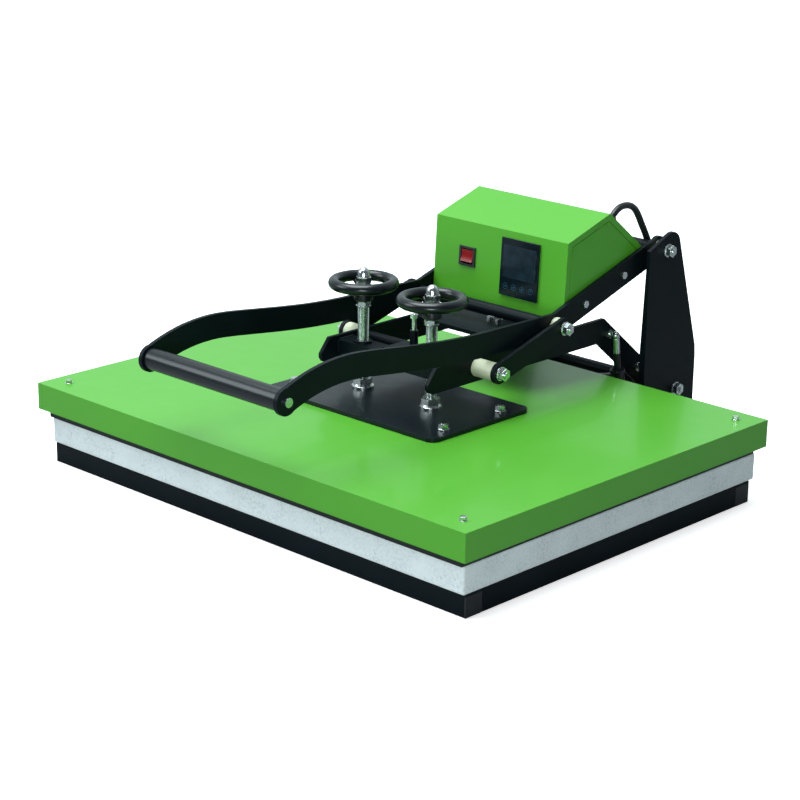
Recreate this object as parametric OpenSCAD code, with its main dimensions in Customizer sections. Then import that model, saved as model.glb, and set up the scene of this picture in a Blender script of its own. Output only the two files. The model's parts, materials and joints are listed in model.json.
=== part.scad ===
// Large-format clamshell heat press: hand lever, toggle links, pressure arm,
// heated upper platen and a flat lower table with a silicone pad.
// Millimetres, +X to the operator's right, +Y to the back, +Z up.
// The origin is on the ground under the middle of the lower table.

/* [Base] */
// Width of the base frame
base_w = 800; // [760:10:1000]
// Depth of the base frame, front to back
base_d = 585; // [480:5:720]
// Width of the frame's rectangular tube
tube_w = 30; // [25:1:36]
// Height of the frame's rectangular tube
tube_h = 28; // [23:1:34]
// Wall of the frame's tube
tube_wall = 2; // [1.5:0.1:3]
// Thickness of the sheet that carries the pad
base_plate_t = 3; // [2:0.5:5]
// How far the rails run behind the lower pivot
rail_tail = 57; // [50:1:80]

/* [Pad] */
// Width of the silicone pad
pad_w = 800; // [660:10:960]
// Depth of the silicone pad
pad_d = 600; // [500:10:720]
// Thickness of the silicone pad
pad_t = 38.5; // [30:0.5:48]
// Pad's centre behind the base's centre
pad_shift = 3; // [0:0.5:6]

/* [Heated platen] */
// Width of the heated platen
platen_w = 800; // [660:10:960]
// Depth of the heated platen
platen_d = 600; // [500:10:720]
// Thickness of the heated platen
platen_t = 20; // [16:1:24]
// Cover's overhang past the platen, left and right
cover_side = 13.8; // [10:0.1:18]
// Cover's overhang past the platen, front and back
cover_end = 9.7; // [8:0.1:14]
// Height of the cover's side
cover_h = 39; // [33:1:47]
// Height of the cover's lower edge over the pad
cover_lift = 11.5; // [8:0.5:14]
// Sheet thickness of the cover
cover_wall = 1.5; // [1:0.1:2]
// Thickness of the insulation blanket
insulation_t = 24; // [16:1:26]
// Width of the plate that hangs the platen
mount_w = 328; // [300:1:390]
// Depth of the plate that hangs the platen
mount_d = 200; // [170:1:240]
// Thickness of the plate that hangs the platen
mount_t = 6; // [4:0.5:8]
// Corner radius of that plate
mount_corner = 14; // [8:1:20]
// Distance between the hanging plate's nuts, across
mount_pitch_x = 288; // [250:1:298]
// Distance between the hanging plate's nuts, front to back
mount_pitch_y = 115; // [90:1:150]

/* [Pressure arm] */
// Thickness of the arm, lever, link and upright plates
plate_t = 6; // [5:0.5:7]
// Inner face of each arm plate from the middle
arm_x = 100; // [90:1:105]
// Width of the arm's bar
arm_bar = 36; // [30:1:42]
// Height of the arm's middle line over the hanging plate
arm_rise = 54; // [48:1:64]
// Front to back size of the bar that holds the screws
crossbar_d = 32; // [28:1:34]
// Height of the bar that holds the screws
crossbar_h = 20; // [16:1:24]

/* [Lever] */
// Inner face of each lever plate from the middle
lever_x = 127; // [124:1:130]
// Width of the lever's bar
lever_bar = 35; // [30:1:38]
// Diameter of the grip tube
grip_d = 30; // [25:1:34]
// Wall of the grip tube
grip_wall = 2; // [1.5:0.5:3]
// How far the grip stands in front of the base
grip_reach = 44.5; // [30:0.5:70]

/* [Uprights and pivots] */
// Inner face of each upright and link from the middle
upright_x = 144; // [142:1:150]
// Distance of the lower pivot behind the pad's middle
pivot_back = 445; // [430:1:480]
// Height of the upper pivot over the lower pivot
pivot_rise = 219; // [205:1:235]
// Diameter of the pivot axles
axle_d = 10; // [8:0.5:12]
// Diameter of the black tubes on the axles
sleeve_d = 18; // [16:1:20]
// Diameter of the nylon spacers
spacer_d = 26; // [22:1:28]
// Width of the links
link_bar = 30; // [25:1:34]
// Width of the folded edge at the foot of each upright
fold_w = 5; // [3:1:11]

/* [Handwheels] */
// Distance of each pressure screw from the middle
screw_x = 66; // [56:1:72]
// Diameter of the pressure screws
screw_d = 16; // [14:1:18]
// Diameter of the handwheels
wheel_d = 100; // [84:1:112]
// Diameter of the handwheel's round rim
rim_d = 16; // [12:1:20]
// Height of the rim over the arm's middle line
wheel_rise = 99; // [90:1:115]

/* [Control box] */
// Sheet thickness of the control box
box_wall = 1.5; // [1:0.1:2]
// Height of the box's roof over the lever's middle line
box_h = 97.5; // [88:0.5:115]
// Border round the side panels
box_border = 9; // [7:0.5:12]
// Width of the controller's glass
glass_w = 71; // [60:1:84]
// Height of the controller's glass
glass_h = 84.5; // [72:0.5:88]
// Width of the rocker switch
switch_w = 31; // [26:1:36]
// Height of the rocker switch
switch_h = 29; // [24:1:34]

/* [Gas springs] */
// Distance of each spring from the middle
spring_x = 121; // [119:0.5:122]
// Outer diameter of the cylinder
spring_d = 20; // [18:0.5:21]
// Diameter of the rod
spring_rod_d = 10; // [8:0.5:11]
// Closed length of the cylinder, from its pin
spring_tube_l = 76; // [70:1:80]

/* [Cable] */
// Diameter of the heater cable
cable_d = 10; // [8:0.5:11]

/* [Fits] */
// Radial clearance of a turning fit
running = 0.05; // [0.02:0.01:0.1]
// Gap between faces of pieces that move past each other
gap = 0.3; // [0.2:0.05:0.6]
// Radial clearance of a fixed bolt in its hole
bolt_fit = 0.2; // [0.1:0.05:0.4]

/* [Hidden] */
$fn = 48;

steel_black = "#16191d";
zinc = "#c8ced3";
green = "#58c832";
ivory = "#ece7d6";

// Heights
base_top = tube_h + base_plate_t;
pad_top = base_top + pad_t;
platen_z = pad_top + gap;
cover_z = pad_top + cover_lift;
cover_top = cover_z + cover_h;
mount_top = cover_top + mount_t;
arm_z = mount_top + arm_rise;

// The cover's and the screws' middle, a little in front of the base's middle
screw_y = -1.5;
cover_w = platen_w + 2 * cover_side;
cover_d = platen_d + 2 * cover_end;

// The four pivots of the toggle, each as [Y, Z]
pivot_d = [pad_shift + pivot_back, arm_z - 105];
pivot_a = [pivot_d[0] - 35, pivot_d[1] + pivot_rise];
pivot_c = [screw_y + 49, arm_z + 3];
pivot_b = pivot_c + [134, 38];
grip = [-base_d / 2 - grip_reach, pivot_b[1] + 3];
arm_knee = [pivot_d[0] - 128, arm_z];

// The lever's own frame: u runs from B to A, v is square to it, the origin is A
lever_tilt = atan2(pivot_a[1] - pivot_b[1], pivot_a[0] - pivot_b[0]);

// Gas springs, each end as [Y, Z]
spring_top = arm_knee + [16, -6];
spring_foot = [spring_top[0] + 18, tube_h + 17];
spring_l = norm(spring_top - spring_foot);
spring_lean = atan2(spring_foot[0] - spring_top[0], spring_top[1] - spring_foot[1]);

// Bolt sizes: across the flats, height
m10_flats = 16;
m10_h = 8;
washer_d = 20;
washer_t = 2;
nut_x = upright_x + plate_t;
axle_end = nut_x + gap + washer_t + m10_h + 3;

// Helpers ------------------------------------------------------------------

function unit(v) = v / norm(v);
function left_of(v) = [-v[1], v[0]];
function cross2(a, b) = a[0] * b[1] - a[1] * b[0];

// Points of an arc about c
function arc(c, r, from, to, steps = 8) =
    [for (i = [0:steps]) let (a = from + (to - from) * i / steps) c + r * [cos(a), sin(a)]];

// Points of a cubic curve from p to s with control points q and r
function curve(p, q, r, s, steps = 12) =
    [for (i = [0:steps]) let (t = i / steps, o = 1 - t)
        o * o * o * p + 3 * o * o * t * q + 3 * o * t * t * r + t * t * t * s];

// Where two lines meet, each given by two points
function meet(l, m) =
    let (r = l[1] - l[0], s = m[1] - m[0])
    l[0] + r * cross2(m[0] - l[0], s) / cross2(r, s);
function moved_edge(p, q, d) = let (n = d * left_of(unit(q - p))) [p + n, q + n];

// A closed outline drawn anticlockwise, moved inwards by d
function inset(pts, d) =
    let (n = len(pts))
    [for (i = [0:n - 1])
        let (a = pts[(i + n - 1) % n], b = pts[i], c = pts[(i + 1) % n])
        meet(moved_edge(a, b, d), moved_edge(b, c, d))];

// One side of a bar that follows a path, d to its left
function bar_side(path, d) =
    let (n = len(path))
    [for (i = [0:n - 1])
        i == 0 ? moved_edge(path[0], path[1], d)[0] :
        i == n - 1 ? moved_edge(path[n - 2], path[n - 1], d)[1] :
        let (e = unit(path[i] - path[i - 1]), f = unit(path[i + 1] - path[i]), m = unit(e + f))
        path[i] + d * left_of(m) / (m * f)];
function reversed(pts) = [for (i = [len(pts) - 1:-1:0]) pts[i]];
function bar(path, width) = concat(bar_side(path, width / 2), reversed(bar_side(path, -width / 2)));

// A flat outline given as [Y, Z] points, from x to x + t
module sheet_x(x, t, outline) translate([x, 0, 0]) rotate([90, 0, 90]) linear_extrude(t) polygon(outline);
// A round bar along X at p = [Y, Z]
module round_x(x0, x1, p, r) translate([x0, p[0], p[1]]) rotate([0, 90, 0]) cylinder(h = x1 - x0, r = r);
// A hexagon along X at p, sized across the flats
module hex_x(x0, x1, p, flats)
    translate([x0, p[0], p[1]]) rotate([0, 90, 0]) cylinder(h = x1 - x0, r = flats / 2 / cos(30), $fn = 6);
module hex_z(z0, z1, flats) translate([0, 0, z0]) cylinder(h = z1 - z0, r = flats / 2 / cos(30), $fn = 6);
module pipe_z(z0, z1, r, bore)
    difference() {
        translate([0, 0, z0]) cylinder(h = z1 - z0, r = r);
        translate([0, 0, z0 - 1]) cylinder(h = z1 - z0 + 2, r = bore);
    }
module pipe_x(x0, x1, p, r, bore)
    difference() {
        round_x(x0, x1, p, r);
        round_x(x0 - 1, x1 + 1, p, bore);
    }
module both_sides() {
    children();
    mirror([1, 0, 0]) children();
}
module left_side() mirror([1, 0, 0]) children();
module rounded_plate(w, d, t, r) {
    translate([-w / 2 + r, -d / 2, 0]) cube([w - 2 * r, d, t]);
    translate([-w / 2, -d / 2 + r, 0]) cube([w, d - 2 * r, t]);
    for (sx = [-1, 1], sy = [-1, 1])
        translate([sx * (w / 2 - r), sy * (d / 2 - r), 0]) cylinder(h = t, r = r);
}
// Washer, nut and the bolt's end, on the outside of a plate whose face is at x
module pivot_nut(x, p) {
    pipe_x(x, x + washer_t, p, washer_d / 2, axle_d / 2 + bolt_fit);
    difference() {
        hex_x(x + washer_t, x + washer_t + m10_h, p, m10_flats);
        round_x(x, x + washer_t + m10_h + 1, p, axle_d / 2 + bolt_fit);
    }
}

// Base ---------------------------------------------------------------------

plug_t = 2.5;
rail_end = pivot_d[0] + rail_tail;
side_x = base_w / 2 - tube_w;

// A hollow tube along X, between x0 and x1, its front face at y
module tube_along_x(x0, x1, y)
    difference() {
        translate([x0, y, 0]) cube([x1 - x0, tube_w, tube_h]);
        translate([x0 - 1, y + tube_wall, tube_wall])
            cube([x1 - x0 + 2, tube_w - 2 * tube_wall, tube_h - 2 * tube_wall]);
    }
module tube_along_y(y0, y1, x)
    difference() {
        translate([x, y0, 0]) cube([tube_w, y1 - y0, tube_h]);
        translate([x + tube_wall, y0 - 1, tube_wall])
            cube([tube_w - 2 * tube_wall, y1 - y0 + 2, tube_h - 2 * tube_wall]);
    }
rail_in = upright_x - tube_w;

module base_cross_tubes() color(steel_black) {
    tube_along_x(-base_w / 2 + plug_t, base_w / 2 - plug_t, -base_d / 2);
    for (y = [base_d / 2 - tube_w, -tube_w / 2, rail_end - tube_w]) tube_along_x(-rail_in, rail_in, y);
    both_sides() {
        tube_along_x(upright_x, base_w / 2 - plug_t, base_d / 2 - tube_w);
        tube_along_x(upright_x, side_x, -tube_w / 2);
    }
}
module base_side_tubes() color(steel_black)
    both_sides() tube_along_y(-base_d / 2 + tube_w, base_d / 2 - tube_w, side_x);
module base_rails() color(steel_black)
    both_sides() difference() {
        tube_along_y(-base_d / 2 + tube_w, rail_end - plug_t, rail_in);
        for (y = upright_bolt_y) round_x(rail_in - 1, upright_x + 1, [y, tube_h / 2], m8_d / 2 + bolt_fit);
    }
// A push-in cap: its head covers the tube's end, its body fills the bore
module end_plug() {
    translate([-tube_w / 2, -tube_h / 2, 0]) cube([tube_w, tube_h, plug_t]);
    inner = [tube_w - 2 * tube_wall - 2 * bolt_fit, tube_h - 2 * tube_wall - 2 * bolt_fit];
    translate([-inner[0] / 2, -inner[1] / 2, -10]) cube([inner[0], inner[1], 10]);
}
module tube_end_plugs() color("#0c0d0f")
    both_sides() {
        for (y = [-base_d / 2 + tube_w / 2, base_d / 2 - tube_w / 2])
            translate([base_w / 2 - plug_t, y, tube_h / 2]) rotate([90, 0, 90]) end_plug();
        translate([upright_x - tube_w / 2, rail_end - plug_t, tube_h / 2]) rotate([-90, 0, 0]) end_plug();
    }
module base_plate() color(steel_black)
    translate([-base_w / 2, -base_d / 2, tube_h]) cube([base_w, base_d, base_plate_t]);
module silicone_pad() color("#cdd7d6")
    translate([-pad_w / 2, pad_shift - pad_d / 2, base_top]) cube([pad_w, pad_d, pad_t]);

// Uprights -----------------------------------------------------------------

m8_d = 8;
m8_flats = 13;
m8_h = 6.5;
upright_front = pivot_a[0] - 42;
upright_back = pivot_d[0] + 46.5;
upright_bolt_y = [upright_front + 22, min(upright_back - 18, rail_end - tube_w - m8_d / 2 - 2)];
upright_outline = concat(
    [[upright_front, 0], [upright_back, 0], [upright_back, pivot_d[1] + 43], [upright_back - 1.5, pivot_d[1] + 59]],
    arc(pivot_a + [10, 6], 20, 15, 115),
    [[upright_front, pivot_a[1] + 5]]);
fold_top = pivot_a[1] - 23;
fold_full = pivot_d[1] + 62;

module upright() color(steel_black)
    difference() {
        union() {
            sheet_x(upright_x, plate_t, upright_outline);
            translate([0, upright_front + plate_t, 0]) rotate([90, 0, 0]) linear_extrude(plate_t)
                polygon([[upright_x, tube_h + gap], [upright_x, fold_top],
                    [upright_x - fold_w, fold_full], [upright_x - fold_w, tube_h + gap]]);
        }
        for (p = [pivot_a, pivot_d]) round_x(upright_x - 1, upright_x + plate_t + 1, p, axle_d / 2 + running);
        for (y = upright_bolt_y)
            round_x(upright_x - 1, upright_x + plate_t + 1, [y, tube_h / 2], m8_d / 2 + bolt_fit);
        round_x(upright_x - 1, upright_x + plate_t - 1.5, clip_at, 2.5 + bolt_fit);
    }
module upright_left() left_side() upright();
module upright_right() upright();

module frame_axles() color(zinc)
    for (p = [pivot_a, pivot_d]) round_x(-axle_end, axle_end, p, axle_d / 2);
module frame_fasteners() color(zinc)
    both_sides() {
        for (p = [pivot_a, pivot_d]) pivot_nut(nut_x, p);
        for (y = upright_bolt_y) {
            hex_x(nut_x, nut_x + m8_h, [y, tube_h / 2], m8_flats);
            round_x(rail_in - 6, nut_x, [y, tube_h / 2], m8_d / 2);
        }
    }
module frame_spacers() color(ivory)
    both_sides() {
        pipe_x(lever_x + plate_t + gap, upright_x, pivot_a, spacer_d / 2, axle_d / 2 + bolt_fit);
        pipe_x(arm_x + plate_t + gap, upright_x, pivot_d, spacer_d / 2, axle_d / 2 + bolt_fit);
    }

ear_t = 4;
ear_gap = 13;
module spring_brackets() color(zinc)
    both_sides() {
        difference() {
            union() {
                for (x = [spring_x - ear_gap / 2 - ear_t, spring_x + ear_gap / 2]) {
                    round_x(x, x + ear_t, spring_foot, 9);
                    translate([x, spring_foot[0] - 9, tube_h]) cube([ear_t, 18, spring_foot[1] - tube_h]);
                }
                translate([spring_x - ear_gap / 2 - ear_t, spring_foot[0] - 16, tube_h])
                    cube([ear_gap + 2 * ear_t, 32, 4]);
            }
            round_x(spring_x - 20, spring_x + 20, spring_foot, 4 + running);
        }
        round_x(spring_x - ear_gap / 2 - ear_t - 2, spring_x + ear_gap / 2 + ear_t + 2, spring_foot, 4);
    }

// Cable clip on the right upright's inner face, closed round the cable
clip_at = [pivot_d[0] + 16, pivot_d[1] + 111];
clip_x = upright_x - cable_d / 2 - 0.5;
clip_cable_y = clip_at[0] - 11;
module cable_clip() color("#0c0d0f") {
    difference() {
        translate([clip_x, clip_cable_y, clip_at[1] - 6]) union() {
            cylinder(h = 12, r = cable_d / 2 + 2.2);
            translate([clip_x - clip_x, 0, 0]) cube([upright_x - clip_x, 15, 12]);
        }
        translate([clip_x, clip_cable_y, clip_at[1] - 7]) cylinder(h = 14, r = cable_d / 2 + bolt_fit);
        translate([upright_x, clip_cable_y - 20, clip_at[1] - 7]) cube([20, 60, 14]);
        round_x(clip_x - 20, upright_x + 1, clip_at, 2.5 + bolt_fit);
    }
    round_x(clip_x - 6, nut_x - 2, clip_at, 2.5);
}

// Lever --------------------------------------------------------------------

lever_span = pivot_b[0] - grip[0];
lever_crest = [pivot_b[0] - 0.797 * lever_span, pivot_b[1] + 25];
lever_straight = [pivot_b[0] - 0.311 * lever_span, pivot_b[1] + 2.5];
lever_path = concat(
    curve(grip, grip + [32, 14], lever_crest - [38, 0], lever_crest, 8),
    [for (i = [1:12]) curve(lever_crest, lever_crest + [47, 0.5], lever_straight + [-110, 2.5],
        lever_straight)[i]],
    [pivot_b, pivot_a]);
// The lever's bolts through the control box, along u
box_bolt_u = [-176, -86];

module in_lever_frame() translate([0, pivot_a[0], pivot_a[1]]) rotate([lever_tilt, 0, 0]) children();

module lever_plate() color(steel_black)
    difference() {
        union() {
            sheet_x(lever_x, plate_t, bar(lever_path, lever_bar));
            round_x(lever_x, lever_x + plate_t, grip, lever_bar / 2 + 1);
            round_x(lever_x, lever_x + plate_t, pivot_a, lever_bar / 2 + 1);
            round_x(lever_x, lever_x + plate_t, pivot_b, lever_bar / 2);
        }
        for (p = [pivot_a, pivot_b]) round_x(lever_x - 1, lever_x + plate_t + 1, p, axle_d / 2 + running);
        round_x(lever_x - 1, lever_x + plate_t + 1, grip, axle_d / 2 + bolt_fit);
        in_lever_frame() for (u = box_bolt_u)
            round_x(lever_x - 1, lever_x + plate_t + 1, [u, 0], 3 + bolt_fit);
    }
module lever_left() left_side() lever_plate();
module lever_right() lever_plate();

module grip_tube() color("#101214")
    difference() {
        round_x(-lever_x, lever_x, grip, grip_d / 2);
        round_x(-lever_x + 12, lever_x - 12, grip, grip_d / 2 - grip_wall);
        both_sides() round_x(lever_x - 13, lever_x + 1, grip, axle_d / 2 + running);
    }
module lever_sleeves() color(steel_black)
    for (p = [pivot_a, pivot_b]) pipe_x(-lever_x, lever_x, p, sleeve_d / 2, axle_d / 2 + running);
module lever_axle() color(zinc) round_x(-axle_end, axle_end, pivot_b, axle_d / 2);
module lever_fasteners() color(zinc)
    both_sides() {
        pivot_nut(nut_x + gap, pivot_b);
        round_x(lever_x - 12, lever_x + plate_t + 1, grip, axle_d / 2);
        round_x(lever_x + plate_t, lever_x + plate_t + 4, grip, axle_d / 2 + 1.5);
        in_lever_frame() for (u = box_bolt_u) {
            round_x(box_x - 14, lever_x + plate_t + 1, [u, 0], 3);
            hex_x(lever_x + plate_t, lever_x + plate_t + 4, [u, 0], 10);
        }
    }
module lever_spacers() color(ivory)
    both_sides() pipe_x(lever_x + plate_t, upright_x - gap, pivot_b, spacer_d / 2, axle_d / 2 + bolt_fit);

// Control box, drawn in the lever's frame ----------------------------------

box_x = lever_x - 1;
box_floor = -8;
front_foot = [-218.6, box_floor];
front_top = [-179.3, box_h];
rear_top = [-83.2, box_h];
rear_foot = [-26, 14.5];
box_outline = [front_foot, [-36, box_floor], rear_foot, rear_top, front_top];
front_len = norm(front_top - front_foot);
front_lean = atan2(front_top[0] - front_foot[0], front_top[1] - front_foot[1]);
rear_dir = unit(rear_foot - rear_top);
gland_at = rear_top + 39.3 * rear_dir;
gland_out = left_of(rear_dir);
gland_x = 100;
ledge = 7;
panel_t = 1.5;

// Local frame on the front face: Z up along the face from its foot, +Y into the box
module on_box_front() in_lever_frame()
    translate([0, front_foot[0], front_foot[1]]) rotate([-front_lean, 0, 0]) children();

glass_z = 18;
glass_x = 41.5;
switch_x = -61;
switch_z = 61;
module switch_hole(extra = 0)
    translate([switch_x - switch_w / 2 + 2 - extra, -5, switch_z - switch_h / 2 + 2 - extra])
        cube([switch_w - 4 + 2 * extra, 20, switch_h - 4 + 2 * extra]);

module box_shell() color(green)
    difference() {
        in_lever_frame() difference() {
            sheet_x(-box_x, 2 * box_x, box_outline);
            sheet_x(-box_x + 2 * box_wall, 2 * box_x - 4 * box_wall, inset(box_outline, box_wall));
            both_sides() {
                sheet_x(box_x - box_wall - 0.01, box_wall + 1, inset(box_outline, box_border));
                sheet_x(box_x - 2 * box_wall - 1, box_wall + 2, inset(box_outline, box_border + ledge));
                for (u = box_bolt_u) round_x(box_x - 8, box_x + 1, [u, 0], 3 + bolt_fit);
                for (p = panel_screw_at) round_x(box_x - 8, box_x + 1, p, 1.5 + bolt_fit);
            }
            translate([gland_x, gland_at[0], gland_at[1]]) rotate([gland_turn, 0, 0])
                translate([0, 0, -5]) cylinder(h = 10, r = 7 + bolt_fit);
        }
        on_box_front() {
            switch_hole();
            translate([glass_x - glass_w / 2 + 4, -1, glass_z + 4]) cube([glass_w - 8, 5, glass_h - 8]);
        }
    }
panel_outline = inset(box_outline, box_border + 1.2);
panel_screw_at = let (m = inset(box_outline, box_border + 4.3))
    [m[4], m[4] + 0.45 * (m[3] - m[4]), m[3], m[0], m[1]];

module box_side_panels() color("#3f9a2b")
    in_lever_frame() both_sides() difference() {
        sheet_x(box_x - box_wall, panel_t - 0.4, panel_outline);
        for (p = panel_screw_at) round_x(box_x - 8, box_x + 1, p, 1.5 + bolt_fit);
        for (u = box_bolt_u) round_x(box_x - 8, box_x + 1, [u, 0], 6);
    }
module panel_screws() color(zinc)
    in_lever_frame() both_sides() for (p = panel_screw_at) {
        round_x(box_x - 0.4, lever_x - gap, p, 3);
        round_x(box_x - 7, box_x - 0.4, p, 1.5);
    }
// Tray inside the box, with ears that the lever's bolts pass through
module box_tray() color("#8b9094")
    in_lever_frame() difference() {
        translate([0, 0, box_floor + box_wall + 0.3]) union() {
            translate([-box_x + 4, -200, 0]) cube([2 * box_x - 8, 155, 2]);
            both_sides() translate([box_x - 6, -196, 0]) cube([2, 128, 16]);
        }
        both_sides() for (u = box_bolt_u) round_x(box_x - 20, box_x, [u, 0], 3 + bolt_fit);
    }
module controller_body() color("#1b1d20")
    on_box_front() {
        translate([glass_x - glass_w / 2 + 0.5, -2.5, glass_z + 0.5]) cube([glass_w - 1, 2.5, glass_h - 1]);
        translate([glass_x - glass_w / 2 + 5, -0.5, glass_z + 5]) cube([glass_w - 10, 18, glass_h - 10]);
    }
module controller_glass() color("#07080a")
    on_box_front() translate([glass_x - glass_w / 2, -4, glass_z]) cube([glass_w, 1.5, glass_h]);
module switch_bezel() color("#111214")
    on_box_front() difference() {
        union() {
            translate([switch_x - switch_w / 2, -2.5, switch_z - switch_h / 2]) cube([switch_w, 2.5, switch_h]);
            translate([switch_x - switch_w / 2 + 2.5, -1, switch_z - switch_h / 2 + 2.5])
                cube([switch_w - 5, 22, switch_h - 5]);
        }
        translate([switch_x - rocker_w / 2 - gap, -6, switch_z - rocker_h / 2 - 0.8])
            cube([rocker_w + 2 * gap, 20, rocker_h + 1.6]);
    }
rocker_w = switch_w - 9;
rocker_h = switch_h - 8;
rocker_tilt = 8;
rocker_axis_y = 5;
rocker_r = 4.2;
// The rocker turns on stub pins; at rest its top is pressed in
module switch_rocker() color("#c81f1c")
    on_box_front() translate([switch_x, rocker_axis_y, switch_z]) rotate([-rocker_tilt, 0, 0]) difference() {
        rotate([90, 0, 90]) linear_extrude(rocker_w, center = true)
            polygon(concat([[rocker_r, -3], [rocker_r, 3]],
                [[-4, rocker_h / 2 - 1.4], [-7.8, rocker_h / 2 - 1.4]],
                [[-6.2, 0]],
                [[-7.8, -rocker_h / 2 + 1.4], [-4, -rocker_h / 2 + 1.4]]));
        rotate([0, 90, 0]) cylinder(h = rocker_w + 2, r = 1.5, center = true);
    }
module control_electronics() color("#3c4046")
    in_lever_frame() translate([0, 0, box_floor + box_wall + 2.3]) {
        translate([-88, -150, 0]) cube([46, 58, 30]);
        translate([-80, -144, 30]) cube([30, 44, 18]);
        translate([-20, -160, 0]) cube([76, 22, 18]);
        for (i = [0:5]) translate([-12 + 12 * i, -149, 18]) cylinder(h = 2, r = 3);
    }
gland_turn = atan2(-gland_out[0], gland_out[1]);
gland_l = 12;
module cable_gland() color("#0c0d0f")
    in_lever_frame() translate([gland_x, gland_at[0], gland_at[1]]) rotate([gland_turn, 0, 0]) {
        hex_z(0, 4, 17);
        translate([0, 0, 4]) cylinder(h = gland_l - 4, r1 = 8, r2 = 6);
        translate([0, 0, -8]) cylinder(h = 8, r = 7);
        hex_z(-8, -box_wall - 0.1, 19);
    }

// Links --------------------------------------------------------------------

pin_start = arm_x + plate_t + 0.4;
module link() color(steel_black)
    difference() {
        union() {
            sheet_x(upright_x, plate_t, bar([pivot_c, pivot_b], link_bar));
            for (p = [pivot_b, pivot_c]) round_x(upright_x, upright_x + plate_t, p, link_bar / 2);
        }
        for (p = [pivot_b, pivot_c]) round_x(upright_x - 1, upright_x + plate_t + 1, p, axle_d / 2 + running);
    }
module link_left() left_side() link();
module link_right() link();
module link_fasteners() color(zinc)
    both_sides() {
        round_x(pin_start, axle_end - gap, pivot_c, axle_d / 2);
        pivot_nut(nut_x, pivot_c);
    }
module link_spacers() color(ivory)
    both_sides() pipe_x(pin_start, upright_x, pivot_c, spacer_d / 2, axle_d / 2 + running);

// Pressure arm -------------------------------------------------------------

nose = screw_y - 49;
arm_top = arm_z + arm_bar / 2;
arm_low = arm_z - arm_bar / 2;
stop_bolt = pivot_d + 52 * unit(arm_knee - pivot_d);
module arm_plate() color(steel_black)
    difference() {
        union() {
            sheet_x(arm_x, plate_t, bar([[nose + 25, arm_z], arm_knee, pivot_d], arm_bar));
            sheet_x(arm_x, plate_t, [[nose + 27, arm_low], [nose + 27, arm_top], [nose + 17, arm_top],
                [nose, arm_z - 3], [nose, arm_z - 9], [nose + 4, arm_z - 15], [nose + 12, arm_low]]);
            round_x(arm_x, arm_x + plate_t, pivot_d, arm_bar / 2);
        }
        round_x(arm_x - 1, arm_x + plate_t + 1, pivot_d, axle_d / 2 + running);
        for (p = [spring_top, stop_bolt]) round_x(arm_x - 1, arm_x + plate_t + 1, p, m8_d / 2 + bolt_fit);
    }
module arm_left() left_side() arm_plate();
module arm_right() arm_plate();
module arm_sleeves() color(steel_black) {
    pipe_x(-arm_x, arm_x, pivot_d, sleeve_d / 2, axle_d / 2 + running);
    pipe_x(-arm_x, arm_x, pivot_c, sleeve_d / 2, axle_d / 2 + running);
}
crossbar_z = arm_z - 8;
brace_y = [pivot_b[0] - 45, pivot_b[0] + 33];
brace_t = 6;
brace_bolts = [[-8, pivot_b[0] + 22], [8, pivot_b[0] + 22]];
bracket_t = 4;
bracket_z = max(crossbar_z + crossbar_h, pivot_c[1] + sleeve_d / 2) + gap;
guide_y = pivot_c[0] - sleeve_d / 2 - 5.5;
guide_d = 7;
// Bar between the arms that the pressure screws turn in, with the guide rod's bracket on it
module arm_crossbar() color(steel_black) {
    difference() {
        union() {
            translate([-arm_x, screw_y - crossbar_d / 2, crossbar_z]) cube([2 * arm_x, crossbar_d, crossbar_h]);
            translate([-20, screw_y - 8, crossbar_z + crossbar_h])
                cube([40, guide_y + 14 - screw_y, bracket_z - crossbar_z - crossbar_h + bracket_t]);
            translate([0, guide_y, bracket_z]) cylinder(h = bracket_t + 20, r = 6);
            both_sides() translate([screw_x, screw_y, crossbar_z + crossbar_h]) cylinder(h = 3, r = 13);
        }
        both_sides() translate([screw_x, screw_y, crossbar_z - 1]) cylinder(h = crossbar_h + 6, r = screw_d / 2 + gap);
        translate([0, guide_y, bracket_z + 2]) cylinder(h = 60, r = guide_d / 2 + bolt_fit);
        translate([-21, screw_y + crossbar_d / 2, crossbar_z - 1]) cube([42, 60, bracket_z - crossbar_z + 1]);
    }
    // Brace plate between the arms' top edges
    difference() {
        translate([-arm_x, brace_y[0], arm_top - brace_t]) cube([2 * arm_x, brace_y[1] - brace_y[0], brace_t]);
        for (b = brace_bolts) translate([b[0], b[1], arm_top - brace_t - 1]) cylinder(h = brace_t + 2, r = 3 + bolt_fit);
    }
}
socket_start = spring_x - 6;
module arm_fasteners() color(zinc) {
    for (b = brace_bolts) translate([b[0], b[1], arm_top]) {
        hex_z(0, 4, 10);
        translate([0, 0, -brace_t - 4]) cylinder(h = brace_t + 4, r = 3);
    }
    both_sides() {
        round_x(arm_x - 7, socket_start - gap, spring_top, m8_d / 2);
        hex_x(arm_x + plate_t, arm_x + plate_t + m8_h, spring_top, m8_flats);
        hex_x(arm_x - m8_h, arm_x, spring_top, m8_flats);
        round_x(arm_x - 9, arm_x + plate_t + 1, stop_bolt, m8_d / 2);
        hex_x(arm_x + plate_t, arm_x + plate_t + 5, stop_bolt, m8_flats);
        hex_x(arm_x - m8_h, arm_x, stop_bolt, m8_flats);
    }
}

// Heated platen ------------------------------------------------------------

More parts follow.
